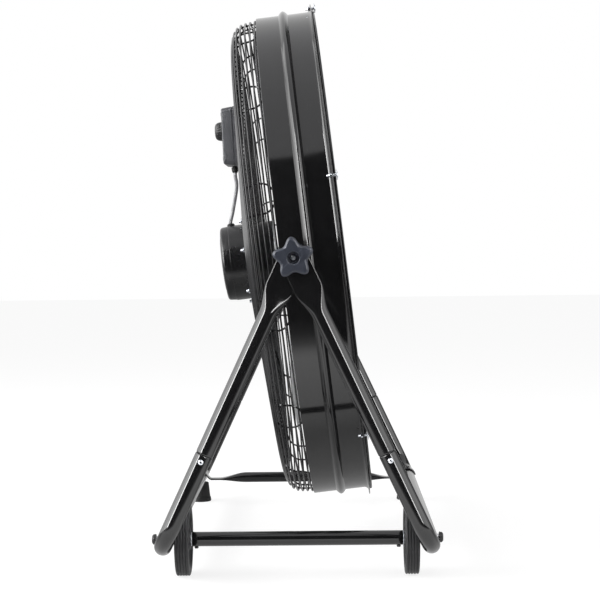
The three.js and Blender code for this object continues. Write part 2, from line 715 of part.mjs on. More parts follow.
function roundedBox(inset, height) {
  const shrink = inset + height * Math.tan(radians(BOX_DRAFT));
  const halfWidth = BOX_WIDTH / 2 - shrink;
  const halfHeight = BOX_HEIGHT / 2 - shrink;
  const corner = Math.max(EDGE, BOX_CORNER - shrink);
  const points = [];
  for (let quarter = 0; quarter < 4; quarter += 1) {
    const sx = [1, -1, -1, 1][quarter];
    const sy = [1, 1, -1, -1][quarter];
    for (const step of [0, 45, 90]) {
      const angle = radians(quarter * 90 + step);
      points.push(new THREE.Vector3(
        sx * (halfWidth - corner) + corner * Math.cos(angle),
        sy * (halfHeight - corner) + corner * Math.sin(angle),
        TOUCH + height,
      ));
    }
  }
  return points;
}

function controlBox() {
  const shell = skin([
    roundedBox(BOX_WALL, BOX_DEPTH - BOX_WALL),
    roundedBox(BOX_WALL, 0),
    roundedBox(0, 0),
    roundedBox(0, BOX_DEPTH - BOX_EDGE),
    roundedBox(BOX_EDGE, BOX_DEPTH),
  ]);
  const stemHole = drill(SWITCH_STEM_RADIUS + RUN,
    new THREE.Vector3(0, SWITCH_ABOVE_MIDDLE, BOX_DEPTH / 2),
    new THREE.Vector3(0, SWITCH_ABOVE_MIDDLE, BOX_DEPTH * 1.5));
  const glandHole = drill(GLAND_STEM_RADIUS + RUN,
    new THREE.Vector3(0, -BOX_HEIGHT / 4, TOUCH + GLAND_FROM_GRILLE),
    new THREE.Vector3(0, -BOX_HEIGHT, TOUCH + GLAND_FROM_GRILLE));
  return cut(shell, [stemHole, glandHole]);
}

function speedKnob() {
  const base = TOUCH + BOX_DEPTH + RUN;
  const height = SWITCH_KNOB_HEIGHT;
  const radius = SWITCH_KNOB_RADIUS;
  return turned([
    [0, base - SWITCH_STEM_LENGTH],
    [SWITCH_STEM_RADIUS, base - SWITCH_STEM_LENGTH],
    [SWITCH_STEM_RADIUS, base],
    [radius, base],
    [radius, base + height * 0.25],
    [radius * 0.9, base + height * 0.62],
    [radius * 0.6, base + height * 0.9],
    [0, base + height],
  ], SWITCH_KNOB_SIDES, Z, new THREE.Vector3(0, SWITCH_ABOVE_MIDDLE, 0));
}

const glandTop = -(BOX_HEIGHT / 2 + TOUCH);

function gland() {
  const top = new THREE.Vector3(0, glandTop, TOUCH + GLAND_FROM_GRILLE);
  return turned([
    [0, -BOX_WALL * 2],
    [GLAND_STEM_RADIUS, -BOX_WALL * 2],
    [GLAND_STEM_RADIUS, 0],
    [GLAND_RADIUS, 0],
    [GLAND_RADIUS, GLAND_LENGTH * 0.55],
    [LEAD_RADIUS * 1.3, GLAND_LENGTH],
    [0, GLAND_LENGTH],
  ], TUBE_SIDES, new THREE.Vector3(0, -1, 0), top);
}

// The lead from the gland down to the top of the motor, close behind the grille.
function motorLead() {
  const fromBox = (up, out) => boxMiddle.clone().addScaledVector(boxUp, up).addScaledVector(boxOut, out);
  const out = TOUCH + GLAND_FROM_GRILLE;
  const start = glandTop - GLAND_LENGTH - TOUCH;
  const entry = motorRear + LEAD_FROM_REAR;
  const route = new THREE.CatmullRomCurve3([
    fromBox(start, out),
    fromBox(start - 2 * LEAD_RADIUS, out),
    fromBox(start - 8 * LEAD_RADIUS, out - 1),
    new THREE.Vector3(0, MOTOR_RADIUS + 8 * LEAD_RADIUS, lerp(entry, fromBox(start, out).z, 0.35)),
    new THREE.Vector3(0, MOTOR_RADIUS + TOUCH + 2 * LEAD_RADIUS, entry),
    new THREE.Vector3(0, MOTOR_RADIUS + TOUCH, entry),
  ], false, 'centripetal');
  const points = Array.from({ length: LEAD_SIDES }, (_, k) => {
    const angle = (k / LEAD_SIDES) * 2 * Math.PI;
    return new THREE.Vector2(LEAD_RADIUS * Math.cos(angle), LEAD_RADIUS * Math.sin(angle));
  });
  return new THREE.ExtrudeGeometry(new THREE.Shape(points), { steps: LEAD_STEPS, extrudePath: route });
}

// ---------------------------------------------------------------- pivots and clamp knobs

function pivotBolt(side) {
  const inner = drumBoreFlat - TOUCH;
  const end = knobFace - BOLT_END_BELOW_FACE;
  return turned([
    [0, inner - PIVOT_HEAD_HEIGHT],
    [PIVOT_HEAD_RADIUS, inner - PIVOT_HEAD_HEIGHT],
    [PIVOT_HEAD_RADIUS, inner],
    [PIVOT_BOLT_RADIUS, inner],
    [PIVOT_BOLT_RADIUS, end - EDGE],
    [PIVOT_BOLT_RADIUS - EDGE, end],
    [0, end],
  ], TUBE_SIDES, X.clone().multiplyScalar(side));
}

function pivotSpacer(side) {
  const start = DRUM_RADIUS + TOUCH;
  const end = legPlane - plateOffset - PLATE_THICKNESS / 2 - TOUCH;
  return turned(sleeve(PIVOT_BOLT_RADIUS + RUN, SPACER_RADIUS, start, end), SPACER_SIDES,
    X.clone().multiplyScalar(side));
}

// Star knob with a boss towards the legs, a recess in its face and a bore for the pivot bolt.
function clampKnob(side) {
  const count = KNOB_LOBES * KNOB_POINTS;
  const first = radians(KNOB_LOBE_ANGLE);
  const star = (inset) => (angle) => {
    const wave = ((1 + Math.cos(KNOB_LOBES * (angle - first))) / 2) ** 1.25;
    const radius = lerp(KNOB_VALLEY_RADIUS, KNOB_LOBE_RADIUS, wave) - inset;
    return [radius * Math.cos(angle), radius * Math.sin(angle)];
  };
  const across = X.clone().multiplyScalar(-side);
  const level = (distance, reach) => ring(count,
    new THREE.Vector3(0, side * distance, PIVOT_HEIGHT), across, Z, reach);
  const starBase = knobBase + KNOB_BOSS_HEIGHT;
  const bore = PIVOT_BOLT_RADIUS + RUN;
  const rings = [
    level(knobBase, circle(bore)),
    level(knobBase, circle(KNOB_BOSS_RADIUS)),
    level(starBase, circle(KNOB_BOSS_RADIUS)),
    level(starBase, star(KNOB_BEVEL)),
    level(starBase + KNOB_BEVEL, star(0)),
    level(knobFace - KNOB_BEVEL, star(0)),
    level(knobFace, star(KNOB_BEVEL)),
    level(knobFace, circle(KNOB_RECESS_RADIUS)),
    level(knobFace - KNOB_RECESS_DEPTH, circle(KNOB_RECESS_RADIUS)),
    level(knobFace - KNOB_RECESS_DEPTH, circle(bore)),
  ];
  return skin(rings, true);
}

// ---------------------------------------------------------------- legs and lower frames

// A point at a distance down a leg line from the pivot.
function legPoint(end, side, distance, offset = 0) {
  return new THREE.Vector3(
    end * distance * Math.sin(legAngle),
    side * (legPlane + offset),
    PIVOT_HEIGHT - distance * Math.cos(legAngle),
  );
}

// Upper leg: a tube pressed flat at the pivot, and drawn down at its foot to enter the lower frame.
// The front leg's plate lies outside the rear leg's.
function upperLeg(end, side) {
  const across = new THREE.Vector3(Math.cos(legAngle), 0, end * Math.sin(legAngle));
  const offset = end * plateOffset;
  const plateEnd = PLATE_HALF_WIDTH / Math.tan(legAngle) + PLATE_MARGIN;
  const tubeStart = plateEnd + FLATTENING_LENGTH;
  const level = (distance, reach, shift) => ring(TUBE_SIDES, legPoint(end, side, distance, shift),
    across, Y, reach);
  const half = PLATE_THICKNESS / 2;
  const rings = [72, 38].map((turn) => level(-PLATE_HALF_WIDTH * Math.sin(radians(turn)),
    stadium(PLATE_HALF_WIDTH * Math.cos(radians(turn)), half), offset));
  rings.push(level(0, stadium(PLATE_HALF_WIDTH, half), offset));
  for (const share of [0, 0.25, 0.5, 0.75, 1]) {
    const ease = share * share * (3 - 2 * share);
    rings.push(level(lerp(plateEnd, tubeStart, share),
      stadium(lerp(PLATE_HALF_WIDTH, TUBE_RADIUS, ease), lerp(half, TUBE_RADIUS, ease)),
      offset * (1 - ease)));
  }
  const shoulder = seamFromPivot - TOUCH;
  const spigotEnd = seamFromPivot + SPIGOT_LENGTH;
  const spigotRadius = boreRadius - TOUCH;
  rings.push(level(shoulder, circle(TUBE_RADIUS), 0));
  rings.push(level(shoulder, circle(spigotRadius), 0));
  rings.push(level(spigotEnd, circle(spigotRadius), 0));
  rings.push(level(spigotEnd, circle(spigotRadius - TUBE_WALL), 0));
  rings.push(level(tubeStart + 2 * TUBE_WALL, circle(spigotRadius - TUBE_WALL), 0));
  const pivotHole = drill(PIVOT_BOLT_RADIUS + RUN,
    new THREE.Vector3(0, side * (legPlane - PAST), PIVOT_HEIGHT),
    new THREE.Vector3(0, side * (legPlane + PAST), PIVOT_HEIGHT));
  return cut(skin(rings), [pivotHole, legScrewHole(end, side)]);
}

function legScrewHole(end, side) {
  return drill(SCREW_RADIUS + RUN, legPoint(end, side, screwFromPivot),
    legPoint(end, side, screwFromPivot, PAST));
}

function legScrew(end, side) {
  const seat = legPoint(end, side, screwFromPivot, tubeFlat + TOUCH);
  return turned(roundScrew(SCREW_LENGTH), SCREW_SIDES, Y.clone().multiplyScalar(side), seat);
}

function roundScrew(length) {
  return [
    [0, -length], [SCREW_RADIUS, -length], [SCREW_RADIUS, 0], [SCREW_HEAD_RADIUS, 0],
    [SCREW_HEAD_RADIUS * 0.85, SCREW_HEAD_HEIGHT * 0.65], [SCREW_HEAD_RADIUS * 0.45, SCREW_HEAD_HEIGHT],
    [0, SCREW_HEAD_HEIGHT],
  ];
}

// Lower frame: upright, bend, cross tube, bend, upright, as one bent tube in a sloping plane.
function lowerFrame(end) {
  const down = new THREE.Vector3(end * Math.sin(legAngle), 0, -Math.cos(legAngle));
  const normal = new THREE.Vector3().crossVectors(down, Y);
  const stations = [];
  for (const side of [-1, 1]) {
    const bendCentre = legPoint(end, side, frameFromPivot - FRAME_BEND, -FRAME_BEND);
    const bend = [];
    for (let k = 0; k <= FRAME_BEND_STEPS; k += 1) {
      const turn = (k / FRAME_BEND_STEPS) * (Math.PI / 2);
      const outward = Y.clone().multiplyScalar(side * Math.cos(turn));
      outward.addScaledVector(down, Math.sin(turn));
      bend.push({ centre: bendCentre.clone().addScaledVector(outward, FRAME_BEND), outward });
    }
    const top = { centre: legPoint(end, side, seamFromPivot), outward: Y.clone().multiplyScalar(side) };
    stations.push(...(side < 0 ? [top, ...bend] : [...bend.reverse(), top]));
  }
  const skinAt = (radius) => stations.map(({ centre, outward }) => ring(TUBE_SIDES, centre, normal,
    outward, circle(radius)));
  const tube = skin([...skinAt(TUBE_RADIUS), ...skinAt(boreRadius).reverse()], true);
  const axleWay = new THREE.Vector3(end * (baseHalf + PAST), wheelSide, WHEEL_RADIUS);
  const footTop = footPlace(end).setZ(crossHeight);
  const strapTop = bracePlace(end);
  return cut(tube, [
    ...[-1, 1].map((side) => legScrewHole(end, side)),
    drill(AXLE_RADIUS + RUN, axleWay.clone().setX(end * (baseHalf - PAST)), axleWay),
    drill(FOOT_STEM_RADIUS + RUN, footTop.clone().setZ(crossHeight - PAST), footTop),
    drill(SCREW_RADIUS + RUN, strapTop, strapTop.clone().setZ(crossHeight + PAST)),
  ]);
}

// ---------------------------------------------------------------- axle, wheels, feet and brace

function axleTube() {
  const tube = turned(sleeve(AXLE_RADIUS + RUN, AXLE_TUBE_RADIUS, -axleTubeEnd, axleTubeEnd),
    TUBE_SIDES, X, axlePoint(0));
  const holes = [-1, 1].map((end) => drill(SET_SCREW_RADIUS + RUN,
    setScrewPlace(end).setZ(WHEEL_RADIUS), setScrewPlace(end).setZ(0)));
  return cut(tube, holes);
}

function axlePoint(along) {
  return new THREE.Vector3(along, wheelSide, WHEEL_RADIUS);
}

function setScrewPlace(end) {
  return axlePoint(end * (axleTubeEnd - SET_SCREW_FROM_END));
}

function axleSetScrew(end) {
  const length = AXLE_TUBE_RADIUS - AXLE_RADIUS - TOUCH;
  const seat = setScrewPlace(end).setZ(WHEEL_RADIUS - AXLE_TUBE_RADIUS - TOUCH);
  return turned([
    [0, -length], [SET_SCREW_RADIUS, -length], [SET_SCREW_RADIUS, 0], [SET_SCREW_HEAD_RADIUS, 0],
    [SET_SCREW_HEAD_RADIUS, SET_SCREW_HEAD_HEIGHT], [0, SET_SCREW_HEAD_HEIGHT],
  ], SCREW_SIDES, new THREE.Vector3(0, 0, -1), seat);
}

const axleEnd = baseHalf + TUBE_RADIUS + AXLE_NUT_HEIGHT - AXLE_NUT_CAP;

function axleRod() {
  return turned([[0, -axleEnd], [AXLE_RADIUS, -axleEnd], [AXLE_RADIUS, axleEnd], [0, axleEnd]],
    TUBE_SIDES, X, axlePoint(0));
}

// Cap nut: open towards the cross tube and closed outside.
function axleNut(end) {
  const seat = baseHalf + TUBE_RADIUS + TOUCH;
  const bore = AXLE_RADIUS + TOUCH;
  const floor = AXLE_NUT_HEIGHT - AXLE_NUT_CAP;
  return turned([
    [bore, 0], [AXLE_NUT_RADIUS, 0], [AXLE_NUT_RADIUS, AXLE_NUT_HEIGHT - AXLE_NUT_ROUNDING],
    [AXLE_NUT_RADIUS - AXLE_NUT_ROUNDING, AXLE_NUT_HEIGHT], [0, AXLE_NUT_HEIGHT], [0, floor],
    [bore, floor], [bore, 0],
  ], TUBE_SIDES, X.clone().multiplyScalar(end), axlePoint(end * seat));
}

function axleWasher(end) {
  return turned(sleeve(AXLE_RADIUS + RUN, WASHER_RADIUS, 0, WASHER_SHEET), TUBE_SIDES,
    X.clone().multiplyScalar(end), axlePoint(end * (axleTubeEnd + TOUCH)));
}

// The tread's flats are as far from the axle as the wheel's radius, and one of them lies on the floor.
function wheel(end) {
  const half = WHEEL_WIDTH / 2;
  const toCorners = 1 / Math.cos(Math.PI / WHEEL_SIDES);
  const bore = (AXLE_RADIUS + RUN) * toCorners;
  const tread = WHEEL_RADIUS * toCorners;
  const rimInner = WHEEL_RADIUS - WHEEL_RIM;
  const oneSide = [
    [tread, half - WHEEL_CHAMFER],
    [tread - WHEEL_CHAMFER, half],
    [rimInner, half],
    [rimInner - WHEEL_DRAFT, half - WHEEL_DISH],
    [WHEEL_HUB_RADIUS + WHEEL_DRAFT, half - WHEEL_DISH],
    [WHEEL_HUB_RADIUS, half],
    [bore, half],
  ];
  const otherSide = oneSide.map(([radius, along]) => [radius, -along]).reverse();
  const geometry = turned([...otherSide, ...oneSide, otherSide[0]], WHEEL_SIDES, X);
  geometry.rotateX(Math.PI / WHEEL_SIDES);
  geometry.translate(...axlePoint(end * wheelMiddle).toArray());
  return geometry;
}

function footPlace(end) {
  return new THREE.Vector3(end * baseHalf, legPlane - FOOT_FROM_LEG, 0);
}

function rubberFoot(end) {
  return turned([
    [0, 0],
    [FOOT_BOTTOM_RADIUS - FOOT_EDGE, 0],
    [FOOT_BOTTOM_RADIUS, FOOT_EDGE],
    [FOOT_TOP_RADIUS, FOOT_HEIGHT - EDGE],
    [FOOT_TOP_RADIUS - EDGE, FOOT_HEIGHT],
    [FOOT_STEM_RADIUS, FOOT_HEIGHT],
    [FOOT_STEM_RADIUS, FOOT_HEIGHT + TUBE_WALL + FOOT_STEM_LENGTH],
    [0, FOOT_HEIGHT + TUBE_WALL + FOOT_STEM_LENGTH],
  ], FOOT_SIDES, Z, footPlace(end));
}

function bracePlace(end) {
  return new THREE.Vector3(end * baseHalf, legPlane - BRACE_FROM_LEG, crossHeight);
}

// Far brace: a thin tube whose flattened ends step up and wrap over the tops of the cross tubes.
function farBrace() {
  const wrap = TUBE_RADIUS + TOUCH + STRAP_THICKNESS / 2;
  const strap = stadium(STRAP_HALF_WIDTH, STRAP_THICKNESS / 2);
  const oneEnd = [];
  for (let k = 0; k <= STRAP_STEPS; k += 1) {
    const turn = radians(lerp(STRAP_END, STRAP_START, k / STRAP_STEPS));
    const x = baseHalf - wrap * Math.cos(turn);
    oneEnd.push({ x, z: wrap * Math.sin(turn), lean: turn, reach: strap });
  }
  const flatStart = baseHalf - STRAP_FLAT_FROM_TUBE;
  const flatEnd = flatStart - STRAP_FLAT_LENGTH;
  const bendLean = radians((STRAP_START + 90) / 2);
  oneEnd.push({ x: flatStart, z: -STRAP_DROP, lean: bendLean, reach: strap });
  oneEnd.push({ x: flatEnd, z: -STRAP_DROP, lean: radians(90), reach: strap });
  for (const share of [0.3, 0.65, 1]) {
    const ease = share * share * (3 - 2 * share);
    oneEnd.push({
      x: flatEnd - BRACE_FLATTENING * share,
      z: -STRAP_DROP * (1 - ease),
      lean: radians(90),
      reach: stadium(lerp(STRAP_HALF_WIDTH, BRACE_RADIUS, ease),
        lerp(STRAP_THICKNESS / 2, BRACE_RADIUS, ease)),
    });
  }
  const level = ({ x, z, lean, reach }, end) => {
    const centre = bracePlace(end).setX(end * x).setZ(crossHeight + z);
    const normal = new THREE.Vector3(-end * Math.cos(lean), 0, Math.sin(lean));
    return ring(TUBE_SIDES, centre, Y, normal, reach);
  };
  const rings = [
    ...oneEnd.map((spot) => level(spot, 1)),
    ...oneEnd.reverse().map((spot) => level(spot, -1)),
  ];
  const holes = [-1, 1].map((end) => drill(SCREW_RADIUS + RUN, bracePlace(end),
    bracePlace(end).setZ(crossHeight + PAST)));
  return cut(skin(rings), holes);
}

function braceScrew(end) {
  const seat = bracePlace(end).setZ(crossHeight + TUBE_RADIUS + STRAP_THICKNESS + 2 * TOUCH);
  return turned(roundScrew(SCREW_LENGTH), SCREW_SIDES, Z, seat);
}

// ---------------------------------------------------------------- assembly

function buildStand(fan) {
  for (const [endName, end] of Object.entries(ENDS)) {
    for (const [sideName, side] of Object.entries(SIDES)) {
      addPiece(fan, `leg_${endName}_${sideName}`, upperLeg(end, side), 'black_paint');
      addPiece(fan, `leg_screw_${endName}_${sideName}`, legScrew(end, side), 'zinc');
    }
    addPiece(fan, `lower_frame_${endName}`, lowerFrame(end), 'black_paint');
    addPiece(fan, `wheel_${endName}`, wheel(end), 'wheel');
    addPiece(fan, `axle_washer_${endName}`, axleWasher(end), 'zinc');
    addPiece(fan, `axle_set_screw_${endName}`, axleSetScrew(end), 'dark_screw');
    addPiece(fan, `axle_nut_${endName}`, axleNut(end), 'dark_screw');
    addPiece(fan, `foot_${endName}`, rubberFoot(end), 'rubber');
    addPiece(fan, `brace_screw_${endName}`, braceScrew(end), 'dark_screw');
  }
  addPiece(fan, 'axle_tube', axleTube(), 'black_paint');
  addPiece(fan, 'axle_rod', axleRod(), 'steel');
  addPiece(fan, 'far_brace', farBrace(), 'black_paint');
  for (const [sideName, side] of Object.entries(SIDES)) {
    addPiece(fan, `clamp_knob_${sideName}`, clampKnob(side), 'knob_plastic');
  }
}

function buildDrum(fan) {
  const tilt = radians(REST_TILT);
  const upAcross = new THREE.Vector3(-Math.sin(tilt), 0, Math.cos(tilt));
  const forward = new THREE.Vector3(Math.cos(tilt), 0, Math.sin(tilt));
  const drum = framed(new THREE.Vector3(0, 0, PIVOT_HEIGHT), Y, upAcross, forward);
  fan.add(drum);
  addPiece(drum, 'drum_shell', drumShell(), 'black_paint');
  addPiece(drum, 'rear_grille', rearGrille(), 'wire_paint');
  addPiece(drum, 'front_grille', frontGrille(), 'wire_paint');
  aroundAxis(RIM_BOLT_COUNT, DRUM_RADIUS + RIM_BOLT_OUT).forEach((spot, k) => {
    addPiece(drum, `rim_bolt_${k + 1}`, rimBolt(spot), 'zinc');
  });
  aroundAxis(MOTOR_BOLT_COUNT, MOTOR_RADIUS + MOTOR_BOLT_OUT).forEach((spot, k) => {
    addPiece(drum, `motor_bolt_${k + 1}`, motorBolt(spot), 'zinc');
  });
  addPiece(drum, 'motor_housing', motorHousing(), 'black_paint');
  addPiece(drum, 'motor_cover', motorCover(), 'aluminium');
  addPiece(drum, 'stator', stator(), 'steel');
  addPiece(drum, 'rotor', rotor(), 'steel');
  addPiece(drum, 'motor_shaft', motorShaft(), 'steel');
  addPiece(drum, 'fan_hub', fanHub(), 'aluminium');
  for (let k = 0; k < BLADE_COUNT; k += 1) {
    addPiece(drum, `fan_blade_${k + 1}`, fanBlade(k), 'aluminium');
  }
  for (const [sideName, side] of Object.entries(SIDES)) {
    addPiece(drum, `pivot_bolt_${sideName}`, pivotBolt(side), 'zinc');
    addPiece(drum, `pivot_spacer_${sideName}`, pivotSpacer(side), 'dark_screw');
  }
  const box = framed(boxMiddle, new THREE.Vector3(-1, 0, 0), boxUp, boxOut);
  drum.add(box);
  addPiece(box, 'control_box', controlBox(), 'box_plastic');
  addPiece(box, 'speed_knob', speedKnob(), 'box_plastic');
  addPiece(box, 'cable_gland', gland(), 'rubber');
  addPiece(drum, 'motor_lead', motorLead(), 'rubber');
}

const fan = new THREE.Group();
buildStand(fan);
buildDrum(fan);

export default fan;
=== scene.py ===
# Drum fan on a wheeled A-frame: the looks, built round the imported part. Lengths are in millimetres
# and turn into metres where a mesh is made.
import json
import math

import bpy
import numpy as np
from mathutils import Matrix, Quaternion, Vector


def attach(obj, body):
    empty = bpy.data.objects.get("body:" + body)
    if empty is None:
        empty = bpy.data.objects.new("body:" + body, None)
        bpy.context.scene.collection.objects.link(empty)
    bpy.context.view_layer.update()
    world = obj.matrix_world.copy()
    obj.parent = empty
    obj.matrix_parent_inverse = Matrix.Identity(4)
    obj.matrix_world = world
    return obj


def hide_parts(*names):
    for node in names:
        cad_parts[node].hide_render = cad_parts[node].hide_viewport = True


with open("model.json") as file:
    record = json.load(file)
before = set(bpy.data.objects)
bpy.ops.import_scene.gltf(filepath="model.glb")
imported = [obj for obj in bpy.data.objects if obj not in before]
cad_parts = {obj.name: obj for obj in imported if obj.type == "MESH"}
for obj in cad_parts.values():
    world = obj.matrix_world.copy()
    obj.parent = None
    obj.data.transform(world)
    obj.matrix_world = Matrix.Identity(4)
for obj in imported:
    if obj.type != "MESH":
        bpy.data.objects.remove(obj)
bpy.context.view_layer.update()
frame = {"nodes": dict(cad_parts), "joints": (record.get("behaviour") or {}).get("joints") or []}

MM = 0.001
TAU = 2 * math.pi
TOUCH = 0.3  # gap between pieces that are clamped together
RUN = 0.7  # gap beside a piece that turns
STRAIGHT = math.radians(88)  # half the angle of a corner that is too flat to be rounded

# -------- frames of reference

joints = {joint["name"]: joint for joint in frame["joints"]}
PIVOT_HEIGHT = joints["drum_tilt"]["pos_m"][2] / MM
blow = Vector(joints["impeller_spin"]["axis"]).normalized()


def framed(origin, x_axis, y_axis, z_axis):
    matrix = Matrix((x_axis, y_axis, z_axis)).transposed().to_4x4()
    matrix.translation = Vector(origin)
    return matrix


def facing(origin, axis):
    """A frame whose z runs along the axis."""
    matrix = Vector((0, 0, 1)).rotation_difference(Vector(axis)).to_matrix().to_4x4()
    matrix.translation = Vector(origin)
    return matrix


WORLD = Matrix.Identity(4)
# The drum's own frame: x to the far side, y up across the drum, z forward along its axis.
DRUM = framed((0, 0, PIVOT_HEIGHT), (0, 1, 0), (-blow.z, 0, blow.x), blow)

# -------- mesh helpers


def facing_out(points, faces):
    triangles = [(f[0], f[i], f[i + 1]) for f in faces for i in range(1, len(f) - 1)]
    a, b, c = (points[list(column)] for column in zip(*triangles))
    if np.einsum("ij,ij->", a, np.cross(b, c)) > 0:
        return points, faces
    return points, [face[::-1] for face in faces]


def skin(rings, loop=False):
    """A closed body through rings of equal numbers of points."""
    points = np.concatenate(rings)
    rows, count = len(rings), len(rings[0])
    faces = []
    for i in range(rows if loop else rows - 1):
        a, b = i * count, (i + 1) % rows * count
        for k in range(count):
            n = (k + 1) % count
            faces.append((a + k, a + n, b + n, b + k))
    if not loop:
        faces.append(tuple(range(count))[::-1])
        faces.append(tuple(range(len(points) - count, len(points))))
    return facing_out(points, faces)


def turned(profile, sides=64):
    """A body turned round z from (reach, height) pairs. A reach is a radius, or gives one for each
    angle. The profile runs from the axis to the axis, or back to its first point."""
    angles = (np.arange(sides) + 0.5) / sides * TAU
    loop = profile[0] == profile[-1]
    rows, points = [], []
    for reach, height in profile[:-1] if loop else profile:
        radius = reach(angles) if callable(reach) else np.full(sides, float(reach))
        if radius.max() < 1e-6:
            rows.append([len(points)] * sides)
            points.append((0, 0, height))
        else:
            rows.append(list(range(len(points), len(points) + sides)))
            points += [(r * math.cos(a), r * math.sin(a), height) for r, a in zip(radius, angles)]
    faces = []
    for a, b in zip(rows, rows[1:] + (rows[:1] if loop else [])):
        for k in range(sides):
            n = (k + 1) % sides
            face = tuple(dict.fromkeys((a[k], a[n], b[n], b[k])))
            if len(face) > 2:
                faces.append(face)
    return facing_out(np.array(points, float), faces)


def soft(profile, radius, steps=4):
    """The profile with its inner corners rounded. A radius is given for all, or one for each."""
    last = len(profile) - 1
    radii = [radius] * (last + 1) if np.isscalar(radius) else radius
    loop = profile[0] == profile[-1]
    result = []
    for i, corner in enumerate(profile[:-1] if loop else profile):
        here = Vector(corner)
        back = Vector(profile[i - 1 if i else last - 1]) - here
        ahead = Vector(profile[min(i + 1, last)]) - here
        reach = 0.48 * min(back.length, ahead.length)
        back.normalize()
        ahead.normalize()
        half = back.angle(ahead, math.pi) / 2
        if (i in (0, last) and not loop) or radii[i] <= 0 or half > STRAIGHT:
            result.append(tuple(corner))
            continue
        tangent = min(reach, radii[i] / math.tan(half))
        centre = here + (back + ahead).normalized() * (tangent * math.tan(half) / math.sin(half))
        start, end = here + back * tangent - centre, here + ahead * tangent - centre
        sweep = start.angle(end)
        for share in np.linspace(0, 1, steps + 1):
            spot = centre + (start * math.sin((1 - share) * sweep)
                             + end * math.sin(share * sweep)) / math.sin(sweep)
            result.append((spot.x, spot.y))
    return result + result[:1] if loop else result


def sleeve(inner, outer, start, end, edge):
    return soft([(inner, start), (outer, start), (outer, end), (inner, end), (inner, start)], edge)


def wire(path, radius, loop=False, sides=8):
    """Round wire along a path of points."""
    path = np.asarray(path, float)
    if loop:
        ways = np.roll(path, -1, 0) - np.roll(path, 1, 0)
    else:
        ways = np.gradient(path, axis=0)
    ways /= np.linalg.norm(ways, axis=1)[:, None]
    angles = np.arange(sides) / sides * TAU
    across, up = np.cos(angles)[:, None], np.sin(angles)[:, None]
    side = np.cross(ways[0], (0.31, 0.53, 0.79))
    rings = []
    for point, way in zip(path, ways):
        side = side - way * side.dot(way)
        side /= np.linalg.norm(side)
        rings.append(point + radius * (across * side + up * np.cross(way, side)))
    return skin(rings, loop)


def circle(radius, height, count):
    angles = np.arange(count) / count * TAU
    return np.stack([radius * np.cos(angles), radius * np.sin(angles), np.full(count, height)], 1)


def placed(shape, matrix):
    points, faces = shape
    turn = np.array(matrix.to_3x3())
    return points @ turn.T + np.array(matrix.translation), faces


def linked(name, data):
    made = bpy.data.objects.new(name, data)
    bpy.context.scene.collection.objects.link(made)
    return made


def piece(name, shapes, look, body, nodes=(), matrix=WORLD, sharp=35):
    """One object of one or more closed bodies, riding on a body of the part."""
    points, faces, start = [], [], 0
    for shape in shapes:
        spots, polygons = placed(shape, matrix)
        points.append(spots)
        faces += [tuple(start + i for i in polygon) for polygon in polygons]
        start += len(spots)
    mesh = bpy.data.meshes.new(name)
    mesh.from_pydata((np.concatenate(points) * MM).tolist(), [], faces)
    mesh.materials.append(look)
    mesh.shade_smooth()
    mesh.set_sharp_from_angle(angle=math.radians(sharp))
    made = linked(name, mesh)
    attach(made, body)
    if nodes:
        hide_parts(*nodes)


def hexagon(across_flats):
    """Reach of a hexagon at each angle."""
    def reach(angles):
        turn = (angles + TAU / 12) % (TAU / 6) - TAU / 12
        return across_flats / 2 / np.cos(turn)
    return reach


def nut(across_flats, start, height, inner=0.0):
    """Hexagon nut or head between start and start + height, with its corners turned off."""
    six, flat = hexagon(across_flats), across_flats / 2
    bevel = across_flats / math.sqrt(3) - flat

    def chamfered(share):
        return lambda angles: np.minimum(six(angles), flat + bevel * share)

    shares = (0.25, 0.5, 1)
    profile = [(inner, start), (flat, start)]
    profile += [(chamfered(share), start + bevel * share / 2) for share in shares]
    profile += [(chamfered(share), start + height - bevel * share / 2) for share in shares[::-1]]
    profile += [(flat, start + height), (inner, start + height)]
    if inner:
        profile.append(profile[0])
    return turned(profile, 48)


def thread(radius, start, end, pitch):
    """Profile points of a thread from start to end."""
    turns = max(1, round(abs(end - start) / pitch))
    step, root = (end - start) / turns, radius * 0.9
    points = []
    for k in range(turns):
        points += [(root, start + step * k), (radius, start + step * (k + 0.5))]
    return points + [(root, end)]


def socket_screw(radius, height, shank, length, socket):
    """Round-headed screw with a hexagon socket, head beyond z = 0."""
    key = hexagon(socket * 2)
    profile = [(0, -length), (shank, -length), (shank, 0), (radius, 0)]
    for turn in range(0, 70, 10):
        angle = math.radians(turn)
        profile.append((radius * math.cos(angle) ** 0.7, height * (0.2 + 0.8 * math.sin(angle))))
    profile += [(socket * 1.35, height), (key, height - 0.15), (key, height * 0.4), (0, height * 0.3)]
    return turned(profile, 48)


# -------- materials


